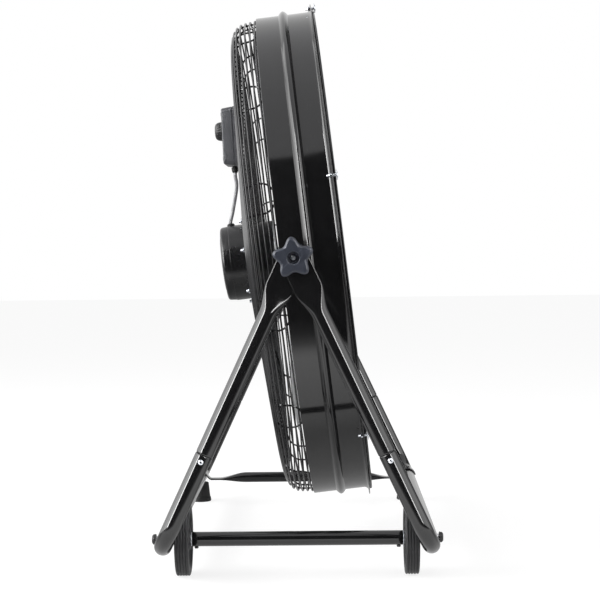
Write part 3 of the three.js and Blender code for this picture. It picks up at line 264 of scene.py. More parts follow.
class Tree:
    """The nodes of a material or of the world. An input is a value, or the output that feeds it."""

    def __init__(self, owner, empty=False):
        owner.use_nodes = True
        self.nodes, self.links = owner.node_tree.nodes, owner.node_tree.links
        if empty:
            self.nodes.clear()

    def feed(self, node, inputs):
        for socket, value in inputs.items():
            if isinstance(value, bpy.types.NodeSocket):
                self.links.new(value, node.inputs[socket])
            else:
                node.inputs[socket].default_value = value

    def add(self, kind, inputs, output=0, **settings):
        """A new node, of which one output is given back."""
        node = self.nodes.new("ShaderNode" + kind)
        for setting, value in settings.items():
            setattr(node, setting, value)
        self.feed(node, inputs)
        return node.outputs[output] if node.outputs else node

    def ranged(self, value, low, high, start=0.0, end=1.0):
        return self.add("MapRange", {"Value": value, "From Min": start, "From Max": end,
                                     "To Min": low, "To Max": high})

    def worked(self, operation, first, second):
        return self.add("Math", {0: first, 1: second}, operation=operation)

    def mixed(self, share, first, second):
        return self.add("Mix", {"Factor": share, 6: first, 7: second}, 2, data_type="RGBA")

    def blended(self, share, first, second):
        return self.add("MixShader", {0: share, 1: first, 2: second})

    def ramp(self, value, stops, start, end, most):
        """Radiance as a share of most, from (value, radiance) stops between start and end."""
        def grey(radiance):
            return (*[radiance / most] * 3, 1)

        node = self.nodes.new("ShaderNodeValToRGB")
        elements = node.color_ramp.elements
        elements[0].color, elements[1].color = grey(stops[0][1]), grey(stops[-1][1])
        for at, radiance in stops:
            if start < at < end:
                elements.new((at - start) / (end - start)).color = grey(radiance)
        self.feed(node, {"Fac": self.ranged(value, 0, 1, start, end)})
        return node.outputs["Color"]


def look_of(name, colour, roughness, metallic=0, vary=0.15, vary_scale=60, rough_vary=0.06,
            rough_scale=25, bump=0.1, bump_scale=500, stretch=(1, 1, 1), painted_edge_highlight=0, **sockets):
    """A material with mottled colour, uneven gloss, fine relief and a painted highlight along sharp edges."""
    look = bpy.data.materials.new(name)
    tree = Tree(look)
    place = tree.add("Mapping", {"Vector": tree.add("TexCoord", {}, "Object"), "Scale": stretch})

    def noise(scale, detail):
        return tree.add("TexNoise", {"Vector": place, "Scale": scale, "Detail": detail}, "Fac")

    def mottled(scale, detail, low, high):
        return tree.ranged(noise(scale, detail), low, high, 0.3, 0.7)

    dark = [channel * (1 - vary) for channel in colour]
    light = [min(1, channel * (1 + vary)) for channel in colour]
    paint = tree.mixed(mottled(vary_scale, 4, 0, 1), (*dark, 1), (*light, 1))
    # Sharp edges are painted lighter by pointiness: a painted highlight along rims and corners.
    if painted_edge_highlight:
        edges = tree.add("NewGeometry", {}, "Pointiness")
        painted_highlight_colour = [min(1, channel * 1.6 + 0.02) for channel in colour]
        paint = tree.mixed(tree.ranged(edges, 0, painted_edge_highlight, 0.52, 0.6), paint, (*painted_highlight_colour, 1))
    inputs = {"Metallic": metallic, "Base Color": paint,
              "Roughness": mottled(rough_scale, 3, roughness - rough_vary, roughness + rough_vary)}
    if bump:
        inputs["Normal"] = tree.add("Bump", {"Strength": bump, "Distance": 0.0003,
                                             "Height": noise(bump_scale, 2)})
    inputs.update({socket.replace("_", " "): value for socket, value in sockets.items()})
    tree.feed(tree.nodes["Principled BSDF"], inputs)
    return look


gloss_black = look_of("gloss_black_coat", (0.0085, 0.0085, 0.009), 0.09, vary=0.12, rough_vary=0.02,
                      bump=0.03, bump_scale=420)
wire_black = look_of("wire_coat", (0.010, 0.010, 0.011), 0.2, rough_vary=0.05, bump=0.08, bump_scale=600)
motor_black = look_of("motor_coat", (0.008, 0.008, 0.0086), 0.3, rough_vary=0.05, bump_scale=700,
                      Specular_IOR_Level=0.4)
aluminium = look_of("mill_aluminium", (0.62, 0.63, 0.64), 0.32, 1, vary=0.06, vary_scale=18,
                    bump_scale=60, stretch=(1, 9, 1))
zinc = look_of("bright_zinc", (0.6, 0.62, 0.66), 0.3, 1, vary=0.12, vary_scale=160, rough_vary=0.08,
               rough_scale=90)
steel = look_of("plain_steel", (0.42, 0.42, 0.43), 0.35, 1, vary=0.1, vary_scale=80, rough_vary=0.08,
                bump_scale=300)
oxide = look_of("black_oxide", (0.02, 0.02, 0.021), 0.38, 0.4)
# The moulded box, switch and star knob get a painted highlight along their edges.
box_plastic = look_of("moulded_box", (0.038, 0.039, 0.044), 0.46, vary=0.06, rough_vary=0.03, bump=0.35,
                      bump_scale=1400, painted_edge_highlight=0.5)
switch_plastic = look_of("moulded_switch_knob", (0.009, 0.009, 0.0095), 0.42, vary=0.06,
                         rough_vary=0.03, bump=0.2, bump_scale=1200, painted_edge_highlight=0.2, Specular_IOR_Level=0.4)
knob_plastic = look_of("moulded_star_knob", (0.022, 0.0255, 0.037), 0.4, vary=0.06, rough_vary=0.04,
                       bump=0.3, bump_scale=1100, painted_edge_highlight=0.6)
rubber = look_of("matt_rubber", (0.008, 0.008, 0.008), 0.7, bump=0.3, bump_scale=800,
                 Specular_IOR_Level=0.35)
# The tyre's edges get a painted highlight.
tyre_rubber = look_of("tyre_rubber", (0.015, 0.015, 0.0162), 0.6, vary=0.12, bump=0.3, painted_edge_highlight=0.3,
                      Specular_IOR_Level=0.35)
lead_grey = look_of("lead_sheath", (0.25, 0.25, 0.26), 0.45, vary=0.08, rough_vary=0.05, bump=0.15,
                    bump_scale=800)
print_white = look_of("dial_print", (0.6, 0.6, 0.6), 0.5, vary=0.08, rough_vary=0.04, bump=0)

# -------- drum

DRUM_RADIUS, SHEET = 390.0, 1.5
DRUM_REAR, DRUM_FRONT = -20.0, 69.5
BORE = DRUM_RADIUS - SHEET
EDGE = 0.5  # rounding of the sheet's edges
BEAD_MIDDLE, BEAD_HALF, BEAD_HEIGHT, BEAD_FULLNESS = 23.5, 7.6, 6.2, 0.5
FLARE, FLANGE_RADIUS = 7.0, 402.0


def bead(base, order):
    """The rolled bead's (radius, height) points, from the rear or, in order -1, from the front."""
    return [(base + BEAD_HEIGHT * (0.5 + 0.5 * math.cos(math.pi * t)) ** BEAD_FULLNESS,
             BEAD_MIDDLE + BEAD_HALF * t) for t in np.linspace(-1, 1, 21)[::order]]


def flare(radius, start, end, steps=8):
    """The bend from the drum's wall to its front flange."""
    angles = [math.radians(a) for a in np.linspace(start, end, steps + 1)]
    return [(DRUM_RADIUS + FLARE + radius * math.cos(a), DRUM_FRONT - SHEET - FLARE + radius * math.sin(a))
            for a in angles]


shell = [(BORE, DRUM_REAR + EDGE), (BORE + EDGE, DRUM_REAR), (DRUM_RADIUS - EDGE, DRUM_REAR),
         (DRUM_RADIUS, DRUM_REAR + EDGE)]
shell += bead(DRUM_RADIUS, 1) + flare(FLARE, 180, 90)
shell += [(FLANGE_RADIUS - EDGE, DRUM_FRONT - SHEET), (FLANGE_RADIUS, DRUM_FRONT - SHEET + EDGE),
          (FLANGE_RADIUS, DRUM_FRONT - EDGE), (FLANGE_RADIUS - EDGE, DRUM_FRONT)]
shell += flare(FLARE + SHEET, 90, 180) + bead(BORE, -1)
shell.append(shell[0])
piece("drum_sheet", [turned(shell, 288)], gloss_black, "drum", ["drum_shell"], DRUM)

# Rim bolts: a flanged head in front of the grille, and a nut behind the flange.
RIM_WIRE = 2.0
RIM_BOLT_CIRCLE = DRUM_RADIUS + 7.5
RIM_SEAT = DRUM_FRONT + 2 * TOUCH + 2 * RIM_WIRE
RIM_GRIP = RIM_SEAT - (DRUM_FRONT - SHEET - 2 * TOUCH)
RIM_NUT = 3.2
FINE_PITCH = 0.8
BOLTS, FIRST_BOLT = 6, math.radians(76)


def bolt_places(circle_radius, height):
    """Places of the bolts round the drum axis, the first one FIRST_BOLT above the pivot line."""
    for k in range(BOLTS):
        angle = FIRST_BOLT + k / BOLTS * TAU
        spot = (-circle_radius * math.cos(angle), circle_radius * math.sin(angle), height)
        yield k + 1, DRUM @ Matrix.Translation(spot)


rim_tip = -RIM_GRIP - RIM_NUT - 4
for number, place in bolt_places(RIM_BOLT_CIRCLE, RIM_SEAT):
    head = turned(soft([(0, 0), (7.5, 0), (7.5, 0.9), (4.6, 1.5), (4.2, 2.0), (0, 2.0)], 0.3), 48)
    shank = [(0, 0.2), (2, 0.1)] + thread(2, -RIM_GRIP, rim_tip, FINE_PITCH) + [(0, rim_tip - 0.2)]
    shapes = [head, turned(shank, 24), nut(6.4, -RIM_GRIP - RIM_NUT, RIM_NUT, 1.7)]
    piece(f"rim_bolt_set_{number}", shapes, zinc, "drum", [f"rim_bolt_{number}"], place)

# -------- grilles

WIRE = 1.5
PITCH = 7.8
WELD = 0.2  # how far wires sink into each other where they cross
RIB_PAIRS = 14
RIB_SPREAD = math.radians(3.4)
FIRST_RIB = math.radians(180 - 13.5)
PLATE_INNER, PLATE_OUTER = 62.2, 82.2
PLATE_REAR, PLATE_FRONT = -81.84, -78.84
# Rear grille: a wall that leans in, a round shoulder, and a face that rises towards the middle
REAR_RIM, WALL_LEAN, WALL_START, WALL_END = 387.4, 0.11, -15.0, -39.0
FACE_OUTER, FACE_INNER, FACE_HEIGHT, FACE_SLOPE = 350.0, 76.0, -64.5, 0.07
# Front grille: its rim stands on the flange, and its face lies a little deeper
FRONT_RIM, FRONT_INNER, FRONT_DEPTH, FRONT_SHOULDER = 391.5, 56.0, 3.0, 40.0


def rear_height(radius):
    return FACE_HEIGHT - (FACE_OUTER - radius) * FACE_SLOPE


def rear_profile():
    """Fine points of the rear grille's outer line, rim first: out of the drum, round and in."""
    def wall(height):
        return REAR_RIM - (DRUM_REAR - height) * WALL_LEAN

    points = [(wall(h), h) for h in np.linspace(WALL_START, WALL_END, 12)]
    start, end = np.array((wall(WALL_END), WALL_END)), np.array((FACE_OUTER, FACE_HEIGHT))
    meet = wall(rear_height(wall(WALL_END)))
    corner = np.array((meet, rear_height(meet)))
    for t in np.linspace(0, 1, 40)[1:]:
        points.append(tuple((1 - t) ** 2 * start + 2 * t * (1 - t) * corner + t * t * end))
    points += [(r, rear_height(r)) for r in np.linspace(FACE_OUTER, FACE_INNER, 60)[1:]]
    return np.array(points)


def front_profile():
    top = DRUM_FRONT + TOUCH + 2 * RIM_WIRE
    return np.array([(r, top - FRONT_DEPTH * min(1, (FRONT_RIM - r) / FRONT_SHOULDER))
                     for r in np.linspace(FRONT_RIM, FRONT_INNER, 120)])


def inset(profile, depth, outward):
    """The line moved to its inner side. outward is +1 where the grille faces the front."""
    ways = np.gradient(profile, axis=0)
    ways /= np.linalg.norm(ways, axis=1)[:, None]
    return profile + depth * np.stack([-ways[:, 1], ways[:, 0]], 1) * outward


def along(profile, stops):
    """Points at distances along a line."""
    steps = np.concatenate([[0], np.cumsum(np.linalg.norm(np.diff(profile, axis=0), axis=1))])
    return np.stack([np.interp(stops, steps, profile[:, 0]), np.interp(stops, steps, profile[:, 1])], 1)


def length_of(profile):
    return np.linalg.norm(np.diff(profile, axis=0), axis=1).sum()


def net(profile, outward, rib_end):
    """Rings of wire on ribs. Each rib is a hairpin whose bend is rib_end away from the rim."""
    shapes = []
    ring_line = inset(profile, WIRE, outward)
    for radius, height in along(ring_line, np.arange(PITCH, length_of(ring_line) - 4, PITCH)):
        shapes.append(wire(circle(radius, height, int(max(72, radius / 2))), WIRE, loop=True))
    rib_line = inset(profile, 3 * WIRE - WELD, outward)
    leg = along(rib_line, np.linspace(length_of(rib_line), rib_end, 60))
    turns = np.linspace(0, math.pi, 14)[1:-1]
    bend = along(rib_line, rib_end - rib_end * 0.9 * np.sin(turns))
    for k in range(RIB_PAIRS):
        middle = FIRST_RIB + k / RIB_PAIRS * TAU
        path = [(radius, middle - RIB_SPREAD, height) for radius, height in leg]
        path += [(radius, middle - RIB_SPREAD * math.cos(turn), height)
                 for (radius, height), turn in zip(bend, turns)]
        path += [(radius, middle + RIB_SPREAD, height) for radius, height in leg[::-1]]
        shapes.append(wire([(r * math.cos(a), r * math.sin(a), h) for r, a, h in path], WIRE, sides=6))
    return shapes


rear_shapes = net(rear_profile(), -1, 22.0)
rear_shapes.append(wire(circle(386.0, DRUM_REAR + RIM_WIRE, 220), RIM_WIRE, loop=True))
rear_shapes.append(turned(sleeve(PLATE_INNER, PLATE_OUTER, PLATE_REAR, PLATE_FRONT, 0.5), 128))
piece("rear_wire_grille", rear_shapes, wire_black, "drum", ["rear_grille"], DRUM)

front_shapes = net(front_profile(), 1, 21.0)
front_shapes.append(wire(circle(FRONT_RIM, DRUM_FRONT + TOUCH + RIM_WIRE, 220), RIM_WIRE, loop=True))
disc = DRUM_FRONT + TOUCH - FRONT_DEPTH + 0.7
front_shapes.append(turned(soft([
    (0, disc + 0.9), (44, disc + 0.9), (50, disc), (62, disc), (62, disc + 2.4), (50, disc + 2.4),
    (44, disc + 3.3), (0, disc + 3.3)], 2.0), 128))
piece("front_wire_grille", front_shapes, wire_black, "drum", ["front_grille"], DRUM)

# -------- motor

MOTOR_RADIUS, MOTOR_REAR, MOTOR_FRONT = 61.5, -124.0, -36.0
FLANGE_REAR = PLATE_FRONT + TOUCH
FLANGE_FRONT, FLANGE_OUTER = FLANGE_REAR + 3, 73.5
MOTOR_BOLT_CIRCLE, MOTOR_BOLT, MOTOR_NUT = 68.3, 2.5, 4

housing = soft([
    (0, MOTOR_REAR + 2.2), (17, MOTOR_REAR + 2.2), (19, MOTOR_REAR), (44, MOTOR_REAR),
    (47, MOTOR_REAR + 1.6), (MOTOR_RADIUS - 2, MOTOR_REAR + 1.6), (MOTOR_RADIUS - 0.8, MOTOR_REAR + 14),
    (MOTOR_RADIUS - 0.8, MOTOR_REAR + 15.2), (MOTOR_RADIUS, MOTOR_REAR + 15.6),
    (MOTOR_RADIUS, FLANGE_REAR), (FLANGE_OUTER, FLANGE_REAR), (FLANGE_OUTER, FLANGE_FRONT),
    (MOTOR_RADIUS, FLANGE_FRONT), (MOTOR_RADIUS, MOTOR_FRONT), (58.5, MOTOR_FRONT),
    (58.5, MOTOR_REAR + 6), (0, MOTOR_REAR + 6)],
    [0, 1, 1, 2, 1.5, 4.5, 0.3, 0.3, 0.3, 1, 0.8, 0.8, 1, 0.8, 0.5, 1, 0])
piece("motor_can", [turned(housing, 128)], motor_black, "drum", ["motor_housing"], DRUM)
grip = FLANGE_FRONT + TOUCH - PLATE_REAR + TOUCH
for number, place in bolt_places(MOTOR_BOLT_CIRCLE, FLANGE_FRONT + TOUCH):
    shank = [(0, 3.8), (2.4, 3.8)] + thread(MOTOR_BOLT, -grip - 2, -grip - 7.5, FINE_PITCH)
    shapes = [nut(7.6, 0, MOTOR_NUT, 2.2), turned(shank + [(0, -grip - 7.6)], 24),
              nut(7.6, -grip - MOTOR_NUT, MOTOR_NUT, 2.2)]
    piece(f"motor_bolt_set_{number}", shapes, zinc, "drum", [f"motor_bolt_{number}"], place)

cover = MOTOR_FRONT + TOUCH
piece("motor_end_cover", [turned(soft([
    (9.4, cover), (61.3, cover), (61.3, cover + 2.4), (58, cover + 3), (40, cover + 3), (36, cover + 1.8),
    (24, cover + 1.8), (20, cover + 3), (16, cover + 6), (9.4, cover + 6), (9.4, cover)], 0.6), 128)],
    aluminium, "drum", ["motor_cover"], DRUM)

# -------- impeller

HUB_MIDDLE, HUB_RADIUS, HUB_BORE, SHAFT_RADIUS = 14.0, 24, 8.7, 8
ARM_REACH, BLADE_RADIUS, BLADE_ROOT = 190.0, 372.0, 85.0
ROOT_PITCH, TIP_PITCH = 38, 20
ROOT_CHORD, TIP_CHORD = 130, 236
TIP_CORNER, ROOT_CORNER = 34, 14
BLADE_SHEET, ARM_THICK, ARM_LIFT = 2, 4, 3.3
RIVET_RADII, RIVET_ASIDE = (104, 134, 164), 12
CAMBER = 0.07


def between(root, tip, radius):
    """A value that changes evenly from the arm's end to the blade's tip."""
    return root + (tip - root) * max(0.0, (radius - ARM_REACH) / (BLADE_RADIUS - ARM_REACH))


def blade_point(start, radius, place, lift):
    """A point of the blade's curved sheet: place runs along the chord from its middle."""
    pitch = math.radians(between(ROOT_PITCH, TIP_PITCH, radius))
    chord = between(ROOT_CHORD, TIP_CHORD, radius)
    height = HUB_MIDDLE - place * math.sin(pitch) - CAMBER * chord * (1 - (2 * place / chord) ** 2)
    height += lift / math.cos(pitch)
    angle = start + place * math.cos(pitch) / radius
    return (radius * math.cos(angle), radius * math.sin(angle), height)


def blade_strip(start, stops, half, sheet, lift, steps=24):
    rings = []
    for radius in stops:
        places = np.linspace(-1, 1, steps + 1) * half(radius)
        top = [blade_point(start, radius, p, lift + sheet / 2) for p in places]
        under = [blade_point(start, radius, p, lift - sheet / 2) for p in places[::-1]]
        rings.append(np.array(top + under))
    return skin(rings)


def corner_loss(past):
    """How far a rounded corner has drawn in, from 0 at its start to 1 at its end."""
    return 1 - math.sqrt(max(0.0, 1 - max(0.0, past) ** 2))


def blade_half(radius):
    """Half the chord, less at the rounded corners of the tip and the root."""
    return (between(ROOT_CHORD, TIP_CHORD, radius) / 2
            - TIP_CORNER * 0.75 * corner_loss((radius - (BLADE_RADIUS - TIP_CORNER)) / TIP_CORNER)
            - 8 * corner_loss((BLADE_ROOT + ROOT_CORNER - radius) / ROOT_CORNER))


def arm_half(radius):
    return 23 - 8 * max(0.0, (radius - 170) / 20) ** 2


def rivet(radius, height):
    profile = [(0, -0.6), (radius, -0.6)]
    profile += [(radius * math.cos(math.radians(a)), height * math.sin(math.radians(a)))
                for a in range(0, 90, 15)]
    return turned(profile + [(0, height)], 24)


blade_stops = np.concatenate([
    np.linspace(BLADE_ROOT, BLADE_ROOT + ROOT_CORNER, 5), np.linspace(110, BLADE_RADIUS - TIP_CORNER, 18),
    BLADE_RADIUS - TIP_CORNER * (1 - np.sin(np.linspace(0.1, 1, 9) * math.pi / 2))])
arm_stops = np.concatenate([np.linspace(44, 165, 12), np.linspace(170, ARM_REACH, 7)])
hub = soft([(HUB_BORE, -7), (HUB_RADIUS, -7), (HUB_RADIUS, 11.5), (62, 11.5), (62, 16.5),
            (HUB_RADIUS, 16.5), (HUB_RADIUS, 35), (HUB_BORE, 35), (HUB_BORE, -7)], 1.2)
hub_screw = socket_screw(4.2, 2, shank=2.2, length=4, socket=1.7)
hub_parts = [turned(hub, 96), placed(hub_screw, facing((0, HUB_RADIUS, 28), (0, 1, 0)))]
for k in range(3):
    start = math.radians(90) + k / 3 * TAU
    piece(f"blade_sheet_{k + 1}", [blade_strip(start, blade_stops, blade_half, BLADE_SHEET, 0)], aluminium,
          "impeller", [f"fan_blade_{k + 1}"], DRUM)
    hub_parts.append(blade_strip(start, arm_stops, arm_half, ARM_THICK, ARM_LIFT, 12))
    for radius in RIVET_RADII:
        for place in (-RIVET_ASIDE, RIVET_ASIDE):
            spot, beside, beyond = (
                Vector(blade_point(start, radius + out, place + along_chord, ARM_LIFT + ARM_THICK / 2))
                for out, along_chord in ((0, 0), (0, 1), (1, 0)))
            up = (beyond - spot).cross(beside - spot)
            hub_parts.append(placed(rivet(4, 2.2), facing(spot, up if up.z > 0 else -up)))
piece("hub_and_arms", hub_parts, aluminium, "impeller", ["fan_hub"], DRUM)
shaft = soft([(0, -118), (SHAFT_RADIUS, -118), (SHAFT_RADIUS, 37), (0, 37)], [0, 1, 1, 0])
piece("drive_shaft", [turned(shaft, 48)], steel, "impeller", ["motor_shaft"], DRUM)

# -------- control box

BOX_AT = 204.0
slope = math.hypot(1, FACE_SLOPE)
BOX = DRUM @ framed((0, BOX_AT, rear_height(BOX_AT)), (-1, 0, 0), (0, 1 / slope, FACE_SLOPE / slope),
                    (0, FACE_SLOPE / slope, -1 / slope))
BOX_WIDTH, BOX_HEIGHT, BOX_DEPTH, BOX_CORNER = 112.0, 97.0, 23.0, 9.0
DRAFT = math.tan(math.radians(9))
FACE_ROUNDING = 2.6
BOX_FACE = TOUCH + BOX_DEPTH
SCREW_ACROSS, SCREW_UP = 43, 35.5
KNOB_UP = 11.0
KNOB_PLACE = Matrix.Translation((0, KNOB_UP, 0))
SWITCH_STEPS = 4
TICK_START, TICK_LENGTH = 18.5, 3.5
NUMBER_RADIUS, NUMBER_SIZE, PRINT = 29.0, 7.5, 0.12


def box_ring(inset_by, height):
    shrink = inset_by + height * DRAFT
    corner = max(1.0, BOX_CORNER - shrink)
    points = []
    for quarter, (sx, sy) in enumerate(((1, 1), (-1, 1), (-1, -1), (1, -1))):
        for step in range(9):
            angle = math.radians(quarter * 90 + step * 11.25)
            points.append((sx * (BOX_WIDTH / 2 - shrink - corner) + corner * math.cos(angle),
                           sy * (BOX_HEIGHT / 2 - shrink - corner) + corner * math.sin(angle),
                           TOUCH + height))
    return np.array(points)


box_levels = [(3, 20), (3, 0), (0.4, 0), (0, 0.4), (0, 4.4), (0.9, 4.8), (0.9, 5.6), (0, 6.0)]
for turn in np.linspace(0, 90, 7):
    angle = math.radians(turn)
    box_levels.append((FACE_ROUNDING * (1 - math.cos(angle)),
                       BOX_DEPTH - FACE_ROUNDING * (1 - math.sin(angle))))
box_shapes = [skin([box_ring(inset_by, height) for inset_by, height in box_levels])]
screw = turned([(0, -1), (3.4, -1), (3.4, 0.4), (3.0, 0.7), (2.6, 0.5), (2.2, 0.2), (0, 0.2)], 32)
for x in (-SCREW_ACROSS, SCREW_ACROSS):
    for y in (-SCREW_UP, SCREW_UP):
        box_shapes.append(placed(screw, Matrix.Translation((x, y, BOX_FACE))))
box_shapes.append(placed(turned(soft([(0, -0.5), (25, -0.5), (25, 0.5), (24, 0.7), (0, 0.7)], 0.2), 96),
                         Matrix.Translation((0, KNOB_UP, BOX_FACE - 0.3))))
piece("control_box_case", box_shapes, box_plastic, "drum", ["control_box"], BOX)



def dial_spot(step, radius, height):
    """A place on the box's face at a step of the switch."""
    angle = math.radians(90 - 30 * step)
    return Vector((radius * math.cos(angle), KNOB_UP + radius * math.sin(angle), BOX_FACE + height))


tick = turned(soft([(0, 0), (0.55, 0), (0.55, PRINT), (0, PRINT)], 0.02), 12)
dial = [placed(tick, Matrix.Translation(dial_spot(k, TICK_START + TICK_LENGTH * share, 0.38)))
        for k in range(SWITCH_STEPS) for share in np.linspace(0, 1, 9)]
piece("dial_ticks", dial, print_white, "drum", [], BOX)
for k in range(SWITCH_STEPS):
    words = bpy.data.curves.new(f"dial_number_{k}", "FONT")
    words.body = str(k)
    words.size, words.extrude = NUMBER_SIZE * MM, PRINT * MM
    words.align_x, words.align_y = "CENTER", "CENTER"
    number = linked(f"dial_number_{k}", words)
    at = BOX @ dial_spot(k, NUMBER_RADIUS, 0.1)
    number.matrix_world = Matrix.Translation(at * MM) @ BOX.to_3x3().to_4x4()
    words.materials.append(print_white)
    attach(number, "drum")


def fluted(radius, depth, count=20):
    return lambda angles: radius - depth * (0.5 + 0.5 * np.cos(count * angles)) ** 3


base = BOX_FACE + RUN
knob = [(0, -10), (4, -10), (4, 0), (15.4, 0), (16, 0.6), (16, 2.2), (fluted(15.6, 0.2), 2.6),
        (fluted(15.3, 0.8), 4.4), (fluted(14.7, 0.8), 7.6), (fluted(13.6, 0.5), 9.8), (11.6, 11.8),
        (8, 13.0), (4, 13.4), (0, 13.5)]
knob = [(reach, base + height) for reach, height in knob]
piece("speed_switch_knob", [turned(knob, 160)], switch_plastic, "switch", ["speed_knob"],
      BOX @ KNOB_PLACE)
# A white line of small dots from the knob's middle to its edge, which falls away
dot = turned([(0, 0), (0.7, 0), (0.7, 0.2), (0, 0.2)], 12)
marks = [placed(dot, Matrix.Translation((0, 6 + 5.6 * share, base + 13.3 - 1.575 * share ** 2)))
         for share in np.linspace(0, 1, 9)]
piece("speed_switch_mark", marks, print_white, "switch", [], BOX @ KNOB_PLACE)

GLAND_OUT, GLAND_LENGTH = TOUCH + 7.5, 9
gland_top = -(BOX_HEIGHT / 2 + TOUCH)
gland = soft([(0, -6), (4, -6), (4, 0), (5.6, 0), (5.6, 3.4), (5.0, 3.8), (5.4, 4.4), (5.2, 6),
              (3.9, GLAND_LENGTH), (0, GLAND_LENGTH)], [0, 0.3, 0.2, 0.5, 0.3, 0.3, 0.3, 0.8, 0.5, 0])
piece("lead_gland", [turned(gland, 48)], rubber, "drum", ["cable_gland"],
      BOX @ facing((0, gland_top, GLAND_OUT), (0, -1, 0)))


def smooth_path(points, steps=8):
    """A curve through the points, with even ease at each."""
    points = [np.array(p, float) for p in points]
    points = [2 * points[0] - points[1], *points, 2 * points[-1] - points[-2]]
    path = []
    for a, b, c, d in zip(points, points[1:], points[2:], points[3:]):
        for t in np.linspace(0, 1, steps, endpoint=False):
            path.append(0.5 * (2 * b + (c - a) * t + (2 * a - 5 * b + 4 * c - d) * t * t
                               + (3 * b - a - 3 * c + d) * t ** 3))
    return path + [points[-2]]


to_box = DRUM.inverted() @ BOX
lead_start = gland_top - GLAND_LENGTH - TOUCH
entry = MOTOR_REAR + 20
box_out = (to_box @ Vector((0, lead_start, GLAND_OUT))).z
lead = smooth_path([
    to_box @ Vector((0, lead_start + 2, GLAND_OUT)), to_box @ Vector((0, lead_start - 6, GLAND_OUT)),
    to_box @ Vector((0, lead_start - 24, GLAND_OUT - 1)),
    (0, MOTOR_RADIUS + 24, entry + (box_out - entry) * 0.35),
    (0, MOTOR_RADIUS + TOUCH + 6, entry), (0, MOTOR_RADIUS - 1, entry)])
grommet = turned(soft([(3.1, -2), (6.2, -2), (6.2, 1.2), (4.4, 3.4), (3.1, 3.4), (3.1, -2)], 0.6), 32)
piece("motor_lead_sheath", [wire(lead, 3.0, sides=16)], lead_grey, "drum", ["motor_lead"], DRUM)
piece("motor_grommet", [grommet], rubber, "drum", [],
      DRUM @ facing((0, MOTOR_RADIUS, entry), (0, 1, 0)))

# -------- stand

TUBE, TUBE_BORE = 12.7, 11.2
LEG_PLANE = DRUM_RADIUS + 32.3 + TUBE  # the legs' axes, to either side
BASE_HALF = 192.0
CROSS_HEIGHT, SEAM_HEIGHT = 48.0, 184.0
LEG_ANGLE = math.atan2(BASE_HALF, PIVOT_HEIGHT - CROSS_HEIGHT)
SEAM = (PIVOT_HEIGHT - SEAM_HEIGHT) / math.cos(LEG_ANGLE)
INSERT = 45.0  # how far an upper leg reaches into the lower frame
FRAME_REACH = BASE_HALF / math.sin(LEG_ANGLE)
FRAME_BEND = 42.0
PLATE_HALF, PLATE_THICK = 20.4, 3.5
PLATE_OFFSET = (PLATE_THICK + TOUCH) / 2
PLATE_END = PLATE_HALF / math.tan(LEG_ANGLE) + 1.7
NECK = 42.0  # the stretch from the flattened end to the round tube
TUBE_SIDES = 48
ENDS = {"rear": -1, "front": 1}
SIDES = {"near": -1, "far": 1}


def leg_point(end, side, distance, offset=0.0):
    """A point of a leg's axis, at a distance from the pivot and offset outwards."""
    return np.array((end * distance * math.sin(LEG_ANGLE), side * (LEG_PLANE + offset),
                     PIVOT_HEIGHT - distance * math.cos(LEG_ANGLE)))


def ring(centre, u, v, half_width, half_thick, count=TUBE_SIDES):
    """A flattened round: two half rounds joined by straight runs."""
    angles = (np.arange(count) + 0.5) / count * TAU
    out = np.sign(np.cos(angles)) * (half_width - half_thick) + half_thick * np.cos(angles)
    return centre + np.outer(out, u) + np.outer(half_thick * np.sin(angles), v)


def ease(share):
    return share * share * (3 - 2 * share)


# Rounding of the tube ends at the seam: distance from the end, and how far the wall has drawn in
LIP = [(0, 1.3), (0.25, 0.8), (0.8, 0.35), (1.6, 0.08), (2.4, 0)]


def upper_leg(end, side):
    across = np.array((math.cos(LEG_ANGLE), 0, end * math.sin(LEG_ANGLE)))
    thick = np.array((0.0, 1.0, 0.0))
    offset = end * PLATE_OFFSET
    half = PLATE_THICK / 2
    rings = []
    turns = (83, 76, 68, 60, 50, 40, 30, 20, 10, 0)
    for turn in turns:
        angle = math.radians(turn)
        trim = 0.5 if turn == turns[0] else 0
        rings.append(ring(leg_point(end, side, -PLATE_HALF * math.sin(angle), offset), across, thick,
                          PLATE_HALF * math.cos(angle), half - trim))
    for share in np.linspace(0, 1, 18):
        e = ease(share)
        rings.append(ring(leg_point(end, side, PLATE_END + NECK * share, offset * (1 - e)), across, thick,
                          PLATE_HALF + (TUBE - PLATE_HALF) * e, half + (TUBE - half) * e))
    for back, trim in LIP[::-1]:
        at = leg_point(end, side, SEAM - TOUCH - back)
        rings.append(ring(at, across, thick, TUBE - trim, TUBE - trim))
    for distance in (SEAM - TOUCH, SEAM + INSERT):
        at = leg_point(end, side, distance)
        rings.append(ring(at, across, thick, TUBE_BORE - TOUCH, TUBE_BORE - TOUCH))
    return skin(rings)


def lower_frame(end):
    down = np.array((end * math.sin(LEG_ANGLE), 0, -math.cos(LEG_ANGLE)))
    normal = np.cross(down, (0, 1, 0))
    stations = []
    for side in (-1, 1):
        centre = leg_point(end, side, FRAME_REACH - FRAME_BEND, -FRAME_BEND)
        bend = []
        for turn in np.linspace(0, math.pi / 2, 17):
            out = np.array((0, side * math.cos(turn), 0)) + down * math.sin(turn)
            bend.append((centre + out * FRAME_BEND, out, 0))
        out = np.array((0.0, side, 0.0))
        top = [(leg_point(end, side, SEAM + back), out, trim) for back, trim in LIP]
        stations += top + bend if side < 0 else bend[::-1] + top[::-1]
    rings = [ring(at, normal, out, TUBE - trim, TUBE - trim) for at, out, trim in stations]
    rings += [ring(at, normal, out, TUBE_BORE, TUBE_BORE) for at, out, trim in stations[::-1]]
    return skin(rings, loop=True)


